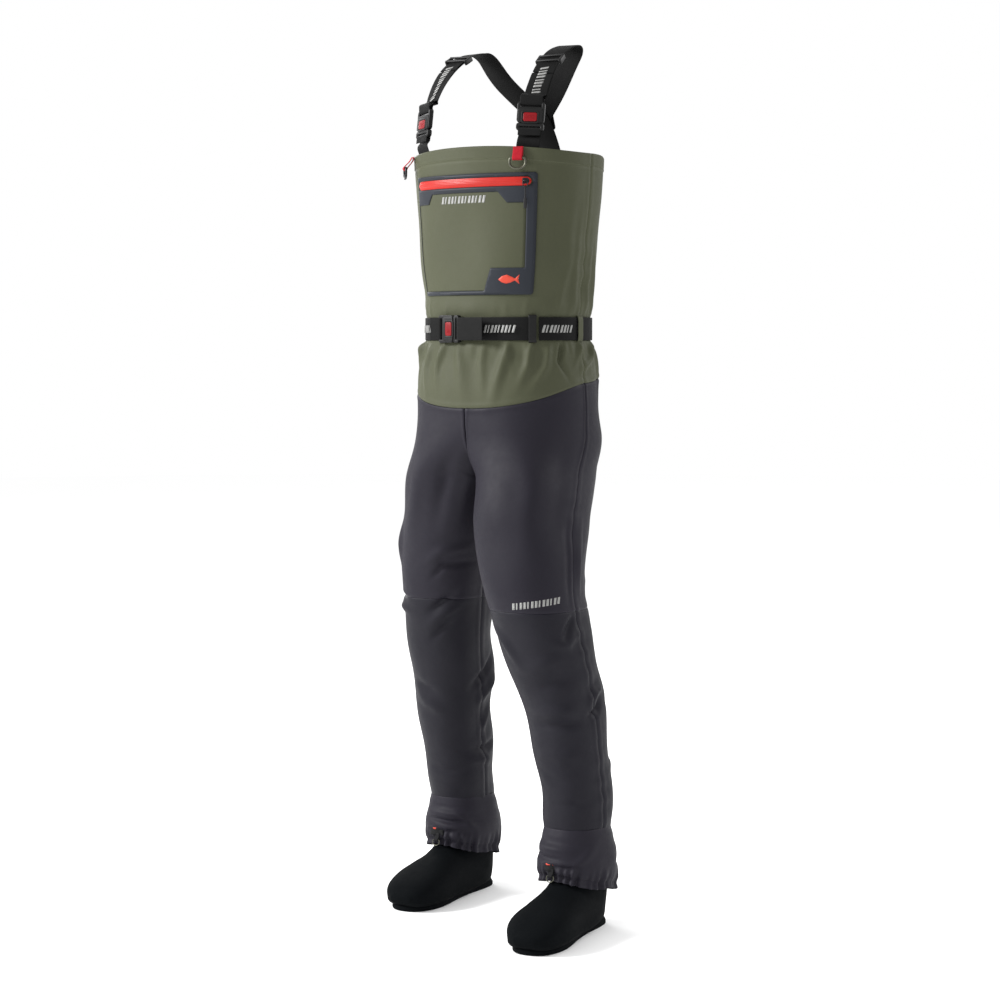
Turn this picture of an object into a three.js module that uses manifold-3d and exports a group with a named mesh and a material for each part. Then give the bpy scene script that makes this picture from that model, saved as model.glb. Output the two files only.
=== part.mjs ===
// Stockingfoot chest waders, in the shape they take when worn: an olive bib, charcoal legs, neoprene socks,
// gravel guards, a waist belt and two suspenders that cross at the back.
// Millimetres, +Z up, the wearer faces -Y, so the wearer's left is +X. Heights are measured from the soles
// while building; the finished group is moved so that its origin is midway between the shoulder straps.
import * as THREE from "three";
import { mergeVertices } from "three/addons/utils/BufferGeometryUtils.js";
import Module from "manifold-3d";

const wasm = await Module();
wasm.setup();

// ---------------------------------------------------------------- driving dimensions
const FABRIC = 3; // bib and leg laminate, with its seams and air
const NEOPRENE = 4.5;
const GAP = 0.4; // clear space between pieces that are sewn or welded face to face
const ROUNDNESS = 2.3; // superellipse exponent of the body sections

// Height, half width, half depth and centre depth of the bib, from the seat to above the hem.
const TORSO = [
  [880, 171, 127, 0],
  [950, 169, 125, 0],
  [990, 165, 120, 0],
  [1030, 153, 110, 0],
  [1060, 150, 108, 0],
  [1090, 152, 109, 0],
  [1130, 160, 112, 0],
  [1170, 166, 114, 0],
  [1234, 172, 117, 0],
  [1298, 178, 121, 0],
  [1400, 182, 124, 0],
];
// Height, centre out from the middle, centre depth, half width and half depth of each leg. Above the crotch
// the two outlines merge across the middle, and the seat is what is left of each.
const LEGS = {
  left: [
    [165, 153, 2, 53, 59],
    [230, 154, -2, 56, 64],
    [330, 149, -14, 60, 70],
    [430, 139, -32, 69, 78],
    [520, 127, -58, 75, 84],
    [620, 110, -70, 83, 95],
    [720, 94, -56, 90, 107],
    [800, 82, -26, 92, 118],
    [880, 34, 0, 135, 126],
    [930, 0, 0, 170, 126],
    [990, 0, 0, 165, 120],
    [1030, 0, 0, 153, 110],
  ],
  right: [
    [165, 190, 113, 53, 59],
    [230, 186, 99, 56, 64],
    [330, 178, 71, 62, 70],
    [430, 163, 45, 69, 77],
    [520, 152, 22, 72, 83],
    [620, 138, 8, 79, 93],
    [720, 112, 0, 88, 107],
    [800, 92, -2, 91, 118],
    [880, 34, 0, 135, 126],
    [930, 0, 0, 170, 126],
    [990, 0, 0, 165, 120],
    [1030, 0, 0, 153, 110],
  ],
};
const HEM = { front: 1374, side: 1362, back: 1342 };
const WAIST_SEAM = { front: 922, side: 966, back: 980, power: 1.15 };
const KNEE_SEAM = 575;
const SOCK_SEAM = 168; // where each leg is taped to its sock

const GUARD = { top: 188, front: 100, back: 58, thickness: 2.4, standOff: 4 };
const GUARD_HEM = { halfWidth: 53, halfDepth: 76, forward: 73 };
const GUARD_ELASTIC = { height: 9, thickness: 1.4 };

// Feet: heel position on the floor, the way the toe points (degrees out from straight ahead).
const FEET = {
  left: { heel: [141, 73], toeOut: 10 },
  right: { heel: [197, 186], toeOut: -5 },
};
const SOLE = 5;
// Sock sections from the ankle to the toe: the near (instep) and far (heel or sole) point of each, as
// distance forward of the heel and height, and the half width.
const SOCK = [
  [130, 167, 14, 167, 52],
  [128, 140, 15, 140, 47],
  [131, 116, 6, 96, 45],
  [138, 104, 0, 48, 41],
  [150, 96, 10, 8, 41],
  [170, 87, 70, 5, 44],
  [197, 78, 155, 5, 49],
  [228, 69, 210, 5, 52],
  [256, 59, 247, 6, 48],
  [276, 47, 272, 9, 37],
  [287, 34, 285, 16, 20],
];

const WEBBING = { width: 40, thickness: 1.6 };
const BELT_HEIGHT = 1060;
const BELT_STAND_OFF = 6.3;
const BELT_BUCKLE_X = -28; // where plug and socket meet

// Each suspender's middle line on the wearer's left, from its highest point forward and down to the hem.
const STRAP_LINE = [
  [105, 51, 1557.5], [107, 9, 1546], [110, -23, 1526], [112, -50, 1497],
  [114, -74, 1458], [116, -88, 1425], [117, -94.5, 1398], [117, -97.5, 1371],
];
const STRAP_YAW = 25;
const BUCKLE_FROM_HEM = 40; // along the strap, where plug and socket meet
const ADJUSTER_FROM_TOP = { left: 84, right: 58 };
const CROSSING = { depth: 95, height: 1438, width: 54, tall: 46 };
const BACK_ANCHOR_OUT = 18;

const BUCKLE = { width: 48, thickness: 10, socket: 36, plug: 13, bar: 2.3, slot: 41 };
const BUTTON = { width: 24, height: 15, thickness: 3, centre: 9.5 };
const TONGUE = { width: 25, length: 19, low: -2.3, high: 0.3 };

const RING = { wire: 3.4, width: 28, height: 20, tab: 20, drop: 19, thickness: 1.4 };
const HOOK = { wire: 1.8, width: 15, height: 11, tab: 10, drop: 12, thickness: 1.2, lean: 1 };
const RING_PLACE = { left: { x: 103, lean: 3 }, right: { x: -150, lean: 12 } };

// The pocket's and the zip's ends are shares of the bib's half width, so they narrow with it.
const POCKET = { left: -0.715, right: 0.735, top: 1327, bottom: 1119, strip: 0.09, thin: 7, out: 1.4 };
const ZIP = { height: 1312, width: 16, left: -0.7, right: 0.665 };

const COLOURS = {
  olive: 0x6b6e5a, slate: 0x3a3f4a, charcoal: 0x33313c, shin: 0x2b2a32, neoprene: 0x0f1214,
  webbing: 0x1e1f1e, plastic: 0x1a1c1c, button: 0xa01020, red: 0xd24a3c, tab: 0xd3364a, metal: 0x6a6b60,
};

// ---------------------------------------------------------------- geometry helpers
const V = (x, y, z) => new THREE.Vector3(x, y, z);
const radians = THREE.MathUtils.degToRad;
const mix = THREE.MathUtils.lerp;

// A geometry from points and triangles, turned so that its faces point out.
function solidFrom(points, faces) {
  const volume = faces.reduce((sum, [a, b, c]) => sum + points[a].dot(points[b].clone().cross(points[c])), 0);
  const index = faces.flatMap(([a, b, c]) => (volume > 0 ? [a, b, c] : [a, c, b]));
  const geometry = new THREE.BufferGeometry().setFromPoints(points);
  geometry.setIndex(index);
  geometry.computeVertexNormals();
  return geometry;
}

// A closed slab between two faces, each a function of u and v from 0 to 1. A closed one wraps round in u.
function slab(outer, inner, columns, rows, closed = false) {
  const across = closed ? columns : columns + 1;
  const points = [];
  for (const face of [outer, inner])
    for (let j = 0; j <= rows; j++)
      for (let i = 0; i < across; i++) points.push(face(i / columns, j / rows));
  const at = (side, i, j) => (side * (rows + 1) + j) * across + (i % across);
  const faces = [];
  const quad = (a, b, c, d) => faces.push([a, b, c], [a, c, d]);
  for (let j = 0; j < rows; j++)
    for (let i = 0; i < columns; i++) {
      quad(at(0, i, j), at(0, i + 1, j), at(0, i + 1, j + 1), at(0, i, j + 1));
      quad(at(1, i, j + 1), at(1, i + 1, j + 1), at(1, i + 1, j), at(1, i, j));
    }
  for (let i = 0; i < columns; i++) {
    quad(at(0, i + 1, 0), at(0, i, 0), at(1, i, 0), at(1, i + 1, 0));
    quad(at(0, i, rows), at(0, i + 1, rows), at(1, i + 1, rows), at(1, i, rows));
  }
  if (!closed)
    for (let j = 0; j < rows; j++) {
      quad(at(0, 0, j), at(0, 0, j + 1), at(1, 0, j + 1), at(1, 0, j));
      quad(at(0, columns, j + 1), at(0, columns, j), at(1, columns, j), at(1, columns, j + 1));
    }
  return solidFrom(points, faces);
}

// A solid through convex sections with equal numbers of points; a loop joins its last section to its first.
function sweep(sections, loop = false) {
  const sides = sections[0].length;
  const steps = loop ? sections.length : sections.length - 1;
  const at = (k, i) => (k % sections.length) * sides + (i % sides);
  const faces = [];
  for (let k = 0; k < steps; k++)
    for (let i = 0; i < sides; i++) {
      faces.push([at(k, i), at(k, i + 1), at(k + 1, i + 1)], [at(k, i), at(k + 1, i + 1), at(k + 1, i)]);
    }
  if (!loop)
    for (let i = 1; i < sides - 1; i++) {
      faces.push([at(0, 0), at(0, i + 1), at(0, i)]);
      faces.push([at(steps, 0), at(steps, i), at(steps, i + 1)]);
    }
  return solidFrom(sections.flat(), faces);
}

const tangent = (path, k) => path[Math.min(k + 1, path.length - 1)].clone().sub(path[Math.max(k - 1, 0)]).normalize();

// Webbing along a path. across(k) is the direction of its width at path point k.
function ribbon(path, across, width = WEBBING.width, thickness = WEBBING.thickness) {
  return sweep(
    path.map((point, k) => {
      const along = tangent(path, k);
      const side = across(k).clone();
      side.addScaledVector(along, -side.dot(along)).normalize();
      const up = side.clone().cross(along);
      const corner = (a, b) => point.clone().addScaledVector(side, (a * width) / 2).addScaledVector(up, (b * thickness) / 2);
      return [corner(-1, -1), corner(1, -1), corner(1, 1), corner(-1, 1)];
    }),
  );
}

// Round wire along a closed path that lies in a plane with the given normal.
function wireLoop(path, normal, radius, sides = 8) {
  const count = path.length;
  return sweep(
    path.map((point, k) => {
      const along = path[(k + 1) % count].clone().sub(path[(k + count - 1) % count]).normalize();
      const out = along.clone().cross(normal);
      return Array.from({ length: sides }, (_, i) => {
        const turn = (2 * Math.PI * i) / sides;
        return point
          .clone()
          .addScaledVector(out, radius * Math.cos(turn))
          .addScaledVector(normal, radius * Math.sin(turn));
      });
    }),
    true,
  );
}

function box(width, height, depth, x = 0, y = 0, z = 0) {
  return new THREE.BoxGeometry(width, height, depth).translate(x, y, z);
}

// A plate with round corners in X and Y, centred on the origin.
function plate(width, height, thickness, radius, bevel = 0) {
  const [w, h] = [width / 2 - bevel, height / 2 - bevel];
  const shape = new THREE.Shape();
  shape.moveTo(-w + radius, -h);
  shape.lineTo(w - radius, -h);
  shape.absarc(w - radius, -h + radius, radius, -Math.PI / 2, 0);
  shape.lineTo(w, h - radius);
  shape.absarc(w - radius, h - radius, radius, 0, Math.PI / 2);
  shape.lineTo(-w + radius, h);
  shape.absarc(-w + radius, h - radius, radius, Math.PI / 2, Math.PI);
  shape.lineTo(-w, -h + radius);
  shape.absarc(-w + radius, -h + radius, radius, Math.PI, 1.5 * Math.PI);
  const settings = {
    depth: thickness - 2 * bevel, curveSegments: 4, bevelEnabled: bevel > 0,
    bevelThickness: bevel, bevelSize: bevel, bevelSegments: 1,
  };
  return new THREE.ExtrudeGeometry(shape, settings).translate(0, 0, bevel - thickness / 2);
}

const rod = (radius, length, y, z) =>
  new THREE.CylinderGeometry(radius, radius, length, 12).rotateZ(Math.PI / 2).translate(0, y, z);

function toSolid(geometry) {
  const bare = geometry.index ? geometry.toNonIndexed() : geometry.clone();
  bare.deleteAttribute("normal");
  bare.deleteAttribute("uv");
  const merged = mergeVertices(bare, 1e-4);
  const vertProperties = merged.attributes.position.array;
  return new wasm.Manifold(new wasm.Mesh({ numProp: 3, vertProperties, triVerts: new Uint32Array(merged.index.array) }));
}

function fromSolid(solid) {
  const mesh = solid.getMesh();
  const points = Array.from({ length: mesh.numVert }, (_, i) => V(...mesh.vertProperties.slice(i * mesh.numProp, i * mesh.numProp + 3)));
  const faces = Array.from({ length: mesh.triVerts.length / 3 }, (_, i) => [...mesh.triVerts.slice(3 * i, 3 * i + 3)]);
  return solidFrom(points, faces);
}

const without = (base, ...tools) => fromSolid(tools.reduce((left, tool) => left.subtract(toSolid(tool)), toSolid(base)));
const joined = (...pieces) => fromSolid(pieces.slice(1).reduce((sum, piece) => sum.add(toSolid(piece)), toSolid(pieces[0])));

// ---------------------------------------------------------------- the body surface
// Smooth values between the rows of a table whose first column is height, without overshoot.
function between(table, height) {
  const last = table.length - 1;
  const k = THREE.MathUtils.clamp(table.findIndex((row) => row[0] > height) - 1, 0, last - 1);
  const row = height >= table[last][0] ? last - 1 : k;
  const span = table[row + 1][0] - table[row][0];
  const t = THREE.MathUtils.clamp((height - table[row][0]) / span, 0, 1);
  const slope = (j, c) => {
    const secant = (i) => (table[i + 1][c] - table[i][c]) / (table[i + 1][0] - table[i][0]);
    if (j === 0) return secant(0);
    if (j === last) return secant(last - 1);
    const [before, after] = [secant(j - 1), secant(j)];
    return before * after <= 0 ? 0 : (2 * before * after) / (before + after);
  };
  return table[row].slice(1).map((value, i) => {
    const c = i + 1;
    const next = table[row + 1][c];
    const [m0, m1] = [slope(row, c) * span, slope(row + 1, c) * span];
    return (2 * t ** 3 - 3 * t ** 2 + 1) * value + (t ** 3 - 2 * t ** 2 + t) * m0
      + (3 * t ** 2 - 2 * t ** 3) * next + (t ** 3 - t ** 2) * m1;
  });
}

const bulge = (value, exponent) => Math.sign(value) * Math.abs(value) ** (2 / exponent);

// A point of the bib: turn 0 is the wearer's left side, -90 degrees the front, 90 degrees the back.
function bibPoint(turn, height, out = 0) {
  const [width, depth, centre] = between(TORSO, height);
  const [c, s] = [bulge(Math.cos(turn), ROUNDNESS), bulge(Math.sin(turn), ROUNDNESS)];
  return V((width + out) * c, centre + (depth + out) * s, height);
}

// A point of a leg. turn runs from 0 at the outer seam to 1 at the inner seam, or at the middle of the seat;
// face is -1 for the front and 1 for the back.
function legPoint(side, face, turn, height, out = 0) {
  const [outward, centre, width, depth] = between(LEGS[side], height);
  const sign = side === "left" ? 1 : -1;
  const reach = THREE.MathUtils.clamp(-(outward - GAP) / width, -1, 0);
  const end = Math.acos(-(Math.abs(reach) ** (ROUNDNESS / 2)));
  const angle = mix(GAP / width, end - GAP / width, turn);
  const x = Math.max(GAP, outward + (width + out) * bulge(Math.cos(angle), ROUNDNESS));
  return V(sign * x, centre + face * (depth + out) * bulge(Math.sin(angle), ROUNDNESS), height);
}

// A height that goes smoothly from front to side to back with the turn round the body.
function heightRound({ front, side, back, power = 2 }, turn) {
  const s = Math.sin(turn);
  return side + (s < 0 ? front - side : back - side) * Math.abs(s) ** power;
}

// ---------------------------------------------------------------- assembly helpers
const waders = new THREE.Group();
const floor = new THREE.Group();
floor.position.set(0, -STRAP_LINE[0][1], -STRAP_LINE[0][2]);
waders.add(floor);

function add(name, geometry, colour, parent = floor, roughness = 0.8, metalness = 0) {
  const material = new THREE.MeshStandardMaterial({ color: COLOURS[colour], roughness, metalness });
  const mesh = new THREE.Mesh(geometry, material);
  mesh.name = name;
  parent.add(mesh);
  return mesh;
}

// A group at a point whose Y axis runs along the webbing and whose Z axis faces out.
function mountAt(point, along, outward) {
  const group = new THREE.Group();
  const y = along.clone().normalize();
  const z = outward.clone().addScaledVector(y, -outward.dot(y)).normalize();
  group.matrixAutoUpdate = false;
  group.matrix.makeBasis(y.clone().cross(z), y, z).setPosition(point);
  floor.add(group);
  return group;
}

// ---------------------------------------------------------------- bib
function makeBib() {
  const panel = (from, to) => (out) => (u, v) => {
    const turn = mix(from, to, u);
    const low = heightRound(WAIST_SEAM, turn) + GAP;
    return bibPoint(turn, mix(low, heightRound(HEM, turn), v), out);
  };
  const inset = 0.003;
  const front = panel(-Math.PI + inset, -inset);
  const back = panel(inset, Math.PI - inset);
  add("bib_front_panel", slab(front(0), front(-FABRIC), 26, 15), "olive");
  add("bib_back_panel", slab(back(0), back(-FABRIC), 22, 13), "olive");
}

// ---------------------------------------------------------------- legs
function makeLeg(side) {
  for (const [face, sign] of [["front", -1], ["back", 1]]) {
    const top = (turn) => heightRound(WAIST_SEAM, (sign * turn * Math.PI) / 2) - GAP;
    const upper = (out) => (u, v) => legPoint(side, sign, u, mix(KNEE_SEAM + GAP, top(u), v), out);
    const lower = (out) => (u, v) => legPoint(side, sign, u, mix(SOCK_SEAM + GAP, KNEE_SEAM - GAP, v), out);
    const shin = face === "front" ? "shin_front" : "calf_back";
    add(`${side}_thigh_${face}_panel`, slab(upper(0), upper(-FABRIC), 12, 12), "charcoal");
    add(`${side}_${shin}_panel`, slab(lower(0), lower(-FABRIC), 11, 8), "shin");
  }
}

// ---------------------------------------------------------------- socks and gravel guards
// The frame of a foot: forward of the heel, out from the middle of the foot, and up.
function footPoint(side, forward, out, up) {
  const sign = side === "left" ? 1 : -1;
  const { heel, toeOut } = FEET[side];
  const angle = radians(toeOut);
  const x = heel[0] + out * Math.cos(angle) + forward * Math.sin(angle);
  const y = heel[1] + out * Math.sin(angle) - forward * Math.cos(angle);
  return V(sign * x, y, up);
}

function sockRing(side, row, inset, sides = 18) {
  const [nearForward, nearUp, farForward, farUp, halfWidth] = row;
  const [cf, cu] = [(nearForward + farForward) / 2, (nearUp + farUp) / 2];
  const [df, du] = [(nearForward - farForward) / 2, (nearUp - farUp) / 2];
  const shrink = 1 - inset / Math.hypot(df, du);
  return Array.from({ length: sides }, (_, i) => {
    const turn = (2 * Math.PI * i) / sides;
    const c = bulge(Math.cos(turn), 2.4) * shrink;
    const up = Math.max(cu + du * c, SOLE + GAP + inset);
    return footPoint(side, cf + df * c, (halfWidth - inset) * bulge(Math.sin(turn), 2.4), up);
  });
}

function makeSock(side) {
  const outer = SOCK.map((row) => sockRing(side, row, 0));
  const inner = SOCK.slice(0, -1).map((row) => sockRing(side, row, NEOPRENE));
  const raised = sockRing(side, [130, 175, 14, 175, 52], NEOPRENE);
  add(`${side}_sock`, without(sweep(outer), sweep([raised, ...inner])), "neoprene");
  const outline = new THREE.Shape(soleOutline(side));
  add(`${side}_sock_sole`, new THREE.ExtrudeGeometry(outline, { depth: SOLE, bevelEnabled: false }), "neoprene");
}

function soleOutline(side) {
  const widths = [[4, 20], [14, 29], [40, 33], [90, 33], [140, 38], [190, 45], [225, 46], [255, 39], [272, 27], [280, 12]];
  const edge = (sign) => widths.map(([forward, half]) => footPoint(side, forward, sign * half, 0));
  const outline = [...edge(1), ...edge(-1).reverse()].map((p) => new THREE.Vector2(p.x, p.y));
  return side === "left" ? outline : outline.reverse();
}

// The cuff hangs from the leg and its hem rises over the instep.
function guardPoint(side, u, v, out) {
  const turn = 2 * Math.PI * u;
  const [c, s] = [Math.cos(turn), Math.sin(turn)];
  const low = mix((GUARD.front + GUARD.back) / 2, s < 0 ? GUARD.front : GUARD.back, Math.abs(s) ** 1.5);
  const height = mix(GUARD.top, low, v);
  const [outward, centre, width, depth] = between(LEGS[side], height);
  const sign = side === "left" ? 1 : -1;
  const hem = footPoint(side, GUARD_HEM.forward, 0, 0);
  const ease = v ** 1.5;
  const swell = GUARD.standOff + 2 * Math.sin(Math.PI * v) + out;
  const x = mix(outward, sign * hem.x, ease) + (mix(width, GUARD_HEM.halfWidth, ease) + swell) * bulge(c, 2.2);
  const y = mix(centre, hem.y, ease) + (mix(depth, GUARD_HEM.halfDepth, ease) + swell) * bulge(s, 2.2);
  return V(sign * x, y, height);
}

function makeGuard(side) {
  const face = (out) => (u, v) => guardPoint(side, u, v, out);
  add(`${side}_gravel_guard`, slab(face(0), face(-GUARD.thickness), 28, 5, true), "charcoal");
  const share = GUARD_ELASTIC.height / (GUARD.top - GUARD.back);
  const band = (out) => (u, v) => guardPoint(side, u, 1 - share * v - 0.02, out - GUARD.thickness - GAP);
  add(`${side}_guard_elastic`, slab(band(0), band(-GUARD_ELASTIC.thickness), 28, 1, true), "webbing");

  const low = guardPoint(side, 0.75, 0.96, 0);
  const down = low.clone().sub(guardPoint(side, 0.75, 0.7, 0)).normalize();
  const group = mountAt(guardPoint(side, 0.75, 0.8, 0.8), down.negate(), V(0, -1, 0));
  hangLoop(group, `${side}_hook_tab`, `${side}_lace_hook`, HOOK, "webbing");
}

// ---------------------------------------------------------------- buckle: socket, plug and button
function socketGeometry() {
  const { width, thickness, socket, slot, bar } = BUCKLE;
  const body = plate(width, socket, thickness, 4, 1).translate(0, socket / 2, 0);
  const cavity = box(TONGUE.width + 3, 24, 5, 0, 11, 0);
  const window = box(BUTTON.width + 0.8, BUTTON.height + 0.8, thickness, 0, BUTTON.centre, thickness / 2);
  const eye = box(slot, 12, 2 * thickness, 0, socket - 3, 0);
  return joined(without(body, cavity, window, eye), rod(bar, slot + 2, socket - 2.5, 0));
}

function plugGeometry() {
  const { width, thickness, plug, slot, bar } = BUCKLE;
  const body = plate(width, plug, thickness, 4, 1).translate(0, -plug / 2 - GAP, 0);
  const eye = box(slot, 12, 2 * thickness, 0, -plug + 3, 0);
  const depth = TONGUE.high - TONGUE.low;
  const tongue = box(TONGUE.width, TONGUE.length + 3, depth, 0, TONGUE.length / 2 - 1.5, TONGUE.low + depth / 2);
  return joined(without(body, eye), rod(bar, slot + 2, -plug + 2.1, 0), tongue);
}

const buttonGeometry = () =>
  plate(BUTTON.width, BUTTON.height, BUTTON.thickness, 2, 0.5).translate(0, BUTTON.centre, 2.7 + BUTTON.thickness / 2);

function addBuckle(prefix, group) {
  add(`${prefix}_buckle_socket`, socketGeometry(), "plastic", group, 0.45);
  add(`${prefix}_buckle_plug`, plugGeometry(), "plastic", group, 0.45);
  add(`${prefix}_buckle_button`, buttonGeometry(), "button", group, 0.4);
}

// Webbing round a buckle's bar, in the buckle's frame: in behind the bar, round it and back in front.
// way is 1 for the socket's end and -1 for the plug's.
function roundBar(way, tail) {
  const centre = way > 0 ? BUCKLE.socket - 2.5 : -BUCKLE.plug + 2.1;
  const radius = BUCKLE.bar + 0.35 + WEBBING.thickness / 2;
  const points = [V(0, centre + way * 9, -radius)];
  for (let k = 0; k <= 6; k++) {
    const turn = Math.PI * (0.5 + k / 6);
    points.push(V(0, centre + way * radius * Math.cos(turn), -radius * Math.sin(turn)));
  }
  points.push(V(0, centre + way * tail, radius + 0.4));
  return points;
}

// ---------------------------------------------------------------- waist belt
function beltCurve() {
  const outline = Array.from({ length: 96 }, (_, k) => bibPoint((2 * Math.PI * k) / 96, BELT_HEIGHT, BELT_STAND_OFF));
  return new THREE.CatmullRomCurve3(outline, true);
}

// Points along the belt, from one distance to another, measured from the buckle round by the wearer's right.
function beltStretch(from, to, step, out = 0) {
  const curve = beltCurve();
  const total = curve.getLength();
  const start = beltStart(curve);
  const count = Math.max(2, Math.round((to - from) / step));
  return Array.from({ length: count + 1 }, (_, k) => {
    const share = (start - mix(from, to, k / count) / total + 3) % 1;
    const point = curve.getPointAt(share);
    const along = curve.getTangentAt(share);
    return point.addScaledVector(V(along.y, -along.x, 0), out);
  });
}

// The share of the belt's length at the front point whose X is the buckle's.
function beltStart(curve) {
  let [low, high] = [0.55, 0.95];
  for (let k = 0; k < 30; k++) {
    const middle = (low + high) / 2;
    if (curve.getPointAt(middle).x < BELT_BUCKLE_X) low = middle;
    else high = middle;
  }
  return low;
}

function makeBelt() {
  const total = beltCurve().getLength();
  const [origin] = beltStretch(0, 1, 1, BUCKLE.thickness / 2);
  const [before, after] = [beltStretch(-16, -15, 1)[0], beltStretch(32, 33, 1)[0]];
  const along = after.clone().sub(before).normalize();
  const group = mountAt(origin, along, V(-along.y, along.x, 0));
  group.updateMatrixWorld(true);
  addBuckle("belt", group);
  const place = (points) => points.map((point) => point.applyMatrix4(group.matrix));
  const up = () => V(0, 0, 1);
  const join = total - 150;
  const main = [...place(roundBar(1, 16)).reverse(), ...beltStretch(52, join, 12)];
  add("waist_belt", ribbon(main, up), "webbing");
  const loop = [...beltStretch(join + GAP, total - 40, 11), ...place(roundBar(-1, 60))];
  add("belt_adjust_loop", ribbon(loop, up), "webbing");
  for (const [name, where] of [["left", total * 0.72], ["right", total * 0.2], ["back", total * 0.47]]) {
    const [point, next] = beltStretch(where, where + 1, 1);
    const run = next.clone().sub(point).normalize();
    const frame = mountAt(point, V(0, 0, 1), V(run.y, -run.x, 0));
    const strap = without(plate(14, 50, 5.6, 1), box(20, WEBBING.width + 4, 3.4, 0, 0, 0));
    add(`${name}_belt_loop`, strap.translate(0, 0, 0.6), "olive", frame);
  }
  const [point, next] = beltStretch(join, join + 1, 1);
  const run = next.clone().sub(point).normalize();
  const frame = mountAt(point, run, V(run.y, -run.x, 0));
  const keeper = without(plate(WEBBING.width + 6, 14, 6, 1), box(WEBBING.width + 2, 20, 3.4, 0, 0, 0));
  add("belt_keeper", keeper.translate(0, 0, 0.6), "webbing", frame);
}

// ---------------------------------------------------------------- suspenders
// A point of the strap, by its distance from the highest point, and the direction of its width there: square
// to the body at the top and turned with the chest at the hem.
const strapCurve = new THREE.CatmullRomCurve3(STRAP_LINE.map((point) => V(...point)));
const TO_HEM = strapCurve.getLength();
function strapPoint(side, distance, out = 0) {
  const share = distance / TO_HEM;
  const point = strapCurve.getPointAt(share);
  const outward = strapWay(share).cross(leftAcross(distance)).negate();
  point.addScaledVector(outward, out);
  return side === "left" ? point : point.setX(-point.x);
}

const strapWay = (share) => strapCurve.getTangentAt(share).negate();

function leftAcross(distance) {
  const way = strapWay(distance / TO_HEM);
  const outward = V(0, -way.z, way.y).normalize();
  const yaw = radians(STRAP_YAW) * THREE.MathUtils.smoothstep(distance, 60, TO_HEM - 90);
  const across = V(Math.cos(yaw), 0, 0).addScaledVector(outward, -Math.sin(yaw));
  return across.addScaledVector(way, -across.dot(way)).normalize();
}

function strapAcross(side, distance) {
  const across = leftAcross(distance);
  return side === "left" ? across : V(across.x, -across.y, -across.z);
}

const span = (from, to, count) => Array.from({ length: count + 1 }, (_, k) => mix(from, to, k / count));

function adjusterGeometry() {
  const rails = [-1, 1].map((sign) => box(4, 18, 9.2, sign * 23, 0, 0));
  const fronts = [-1, 1].map((sign) => box(50, 4, 2, 0, sign * 7, 3.6));
  return joined(...rails, ...fronts, box(50, 5, 2, 0, 0, -3.6));
}

function makeSuspender(side) {
  const sign = side === "left" ? 1 : -1;
  const meet = TO_HEM - BUCKLE_FROM_HEM;
  const across = strapAcross(side, meet);
  const along = strapPoint(side, meet).sub(strapPoint(side, TO_HEM)).normalize();
  const group = mountAt(strapPoint(side, meet), along, across.clone().cross(along));
  addBuckle(`${side}_strap`, group);
  const place = (points) => points.map((point) => point.applyMatrix4(group.matrix));

  const inside = (height) => frontPoint(sign * STRAP_LINE.at(-1)[0], height, -FABRIC - 3.6);
  const anchor = [inside(1322), inside(1346), inside(1366), strapPoint(side, TO_HEM - 12), ...place(roundBar(-1, 11))];
  add(`${side}_anchor_webbing`, ribbon(anchor, () => across), "webbing");

  const glide = ADJUSTER_FROM_TOP[side];
  const run = span(glide - 5, meet - BUCKLE.socket - 8, 12);
  const loop = [...run.map((s) => strapPoint(side, s, -1.2)), ...place(roundBar(1, 38))];
  const width = (k) => (k < run.length ? strapAcross(side, run[k]) : across);
  add(`${side}_strap_loop`, ribbon(loop, width, WEBBING.width, 1.4), "webbing");

  const way = strapPoint(side, glide - 1).sub(strapPoint(side, glide + 1)).normalize();
  const frame = mountAt(strapPoint(side, glide), way, strapAcross(side, glide).cross(way));
  add(`${side}_strap_adjuster`, adjusterGeometry(), "plastic", frame, 0.45);

  // Over the shoulder, down to the crossing and on to the other side of the back hem. One strap lies on the other.
  const layer = side === "left" ? 1.2 : -1.2;
  const over = span(glide + 34, 0, 13).map((s) => strapPoint(side, s, 1.2));
  const behind = [
    V(99, 60, 1552), V(88, 65, 1537), V(67, 70 + layer / 2, 1508), V(35, 82 + layer, 1474),
    V(0, CROSSING.depth + layer, CROSSING.height), V(-11, 107 + layer, 1400),
    V(-BACK_ANCHOR_OUT, 114 + layer, 1364), V(-BACK_ANCHOR_OUT, 115 + layer, 1338), V(-BACK_ANCHOR_OUT, 113.4 + layer, 1306),
  ].map((p) => p.setX(sign * p.x));
  const curve = new THREE.CatmullRomCurve3([...over.slice(-2), ...behind]);
  const back = curve.getPoints(40).slice(4);
  const path = [...over, ...back];
  const widthOf = (k) => (k < over.length ? strapAcross(side, mix(glide + 34, 0, k / 13)) : V(1, 0, 0));
  add(`${side}_shoulder_strap`, ribbon(path, widthOf, WEBBING.width, 1.4), "webbing");
}

function makeCrossing() {
  const out = V(0, 0.947, 0.32);
  const group = mountAt(V(0, CROSSING.depth, CROSSING.height).addScaledVector(out, 5.2), V(0, -0.32, 0.947), out);
  add("crossing_patch", plate(CROSSING.width, CROSSING.tall, 2, 6), "webbing", group);
}

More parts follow.
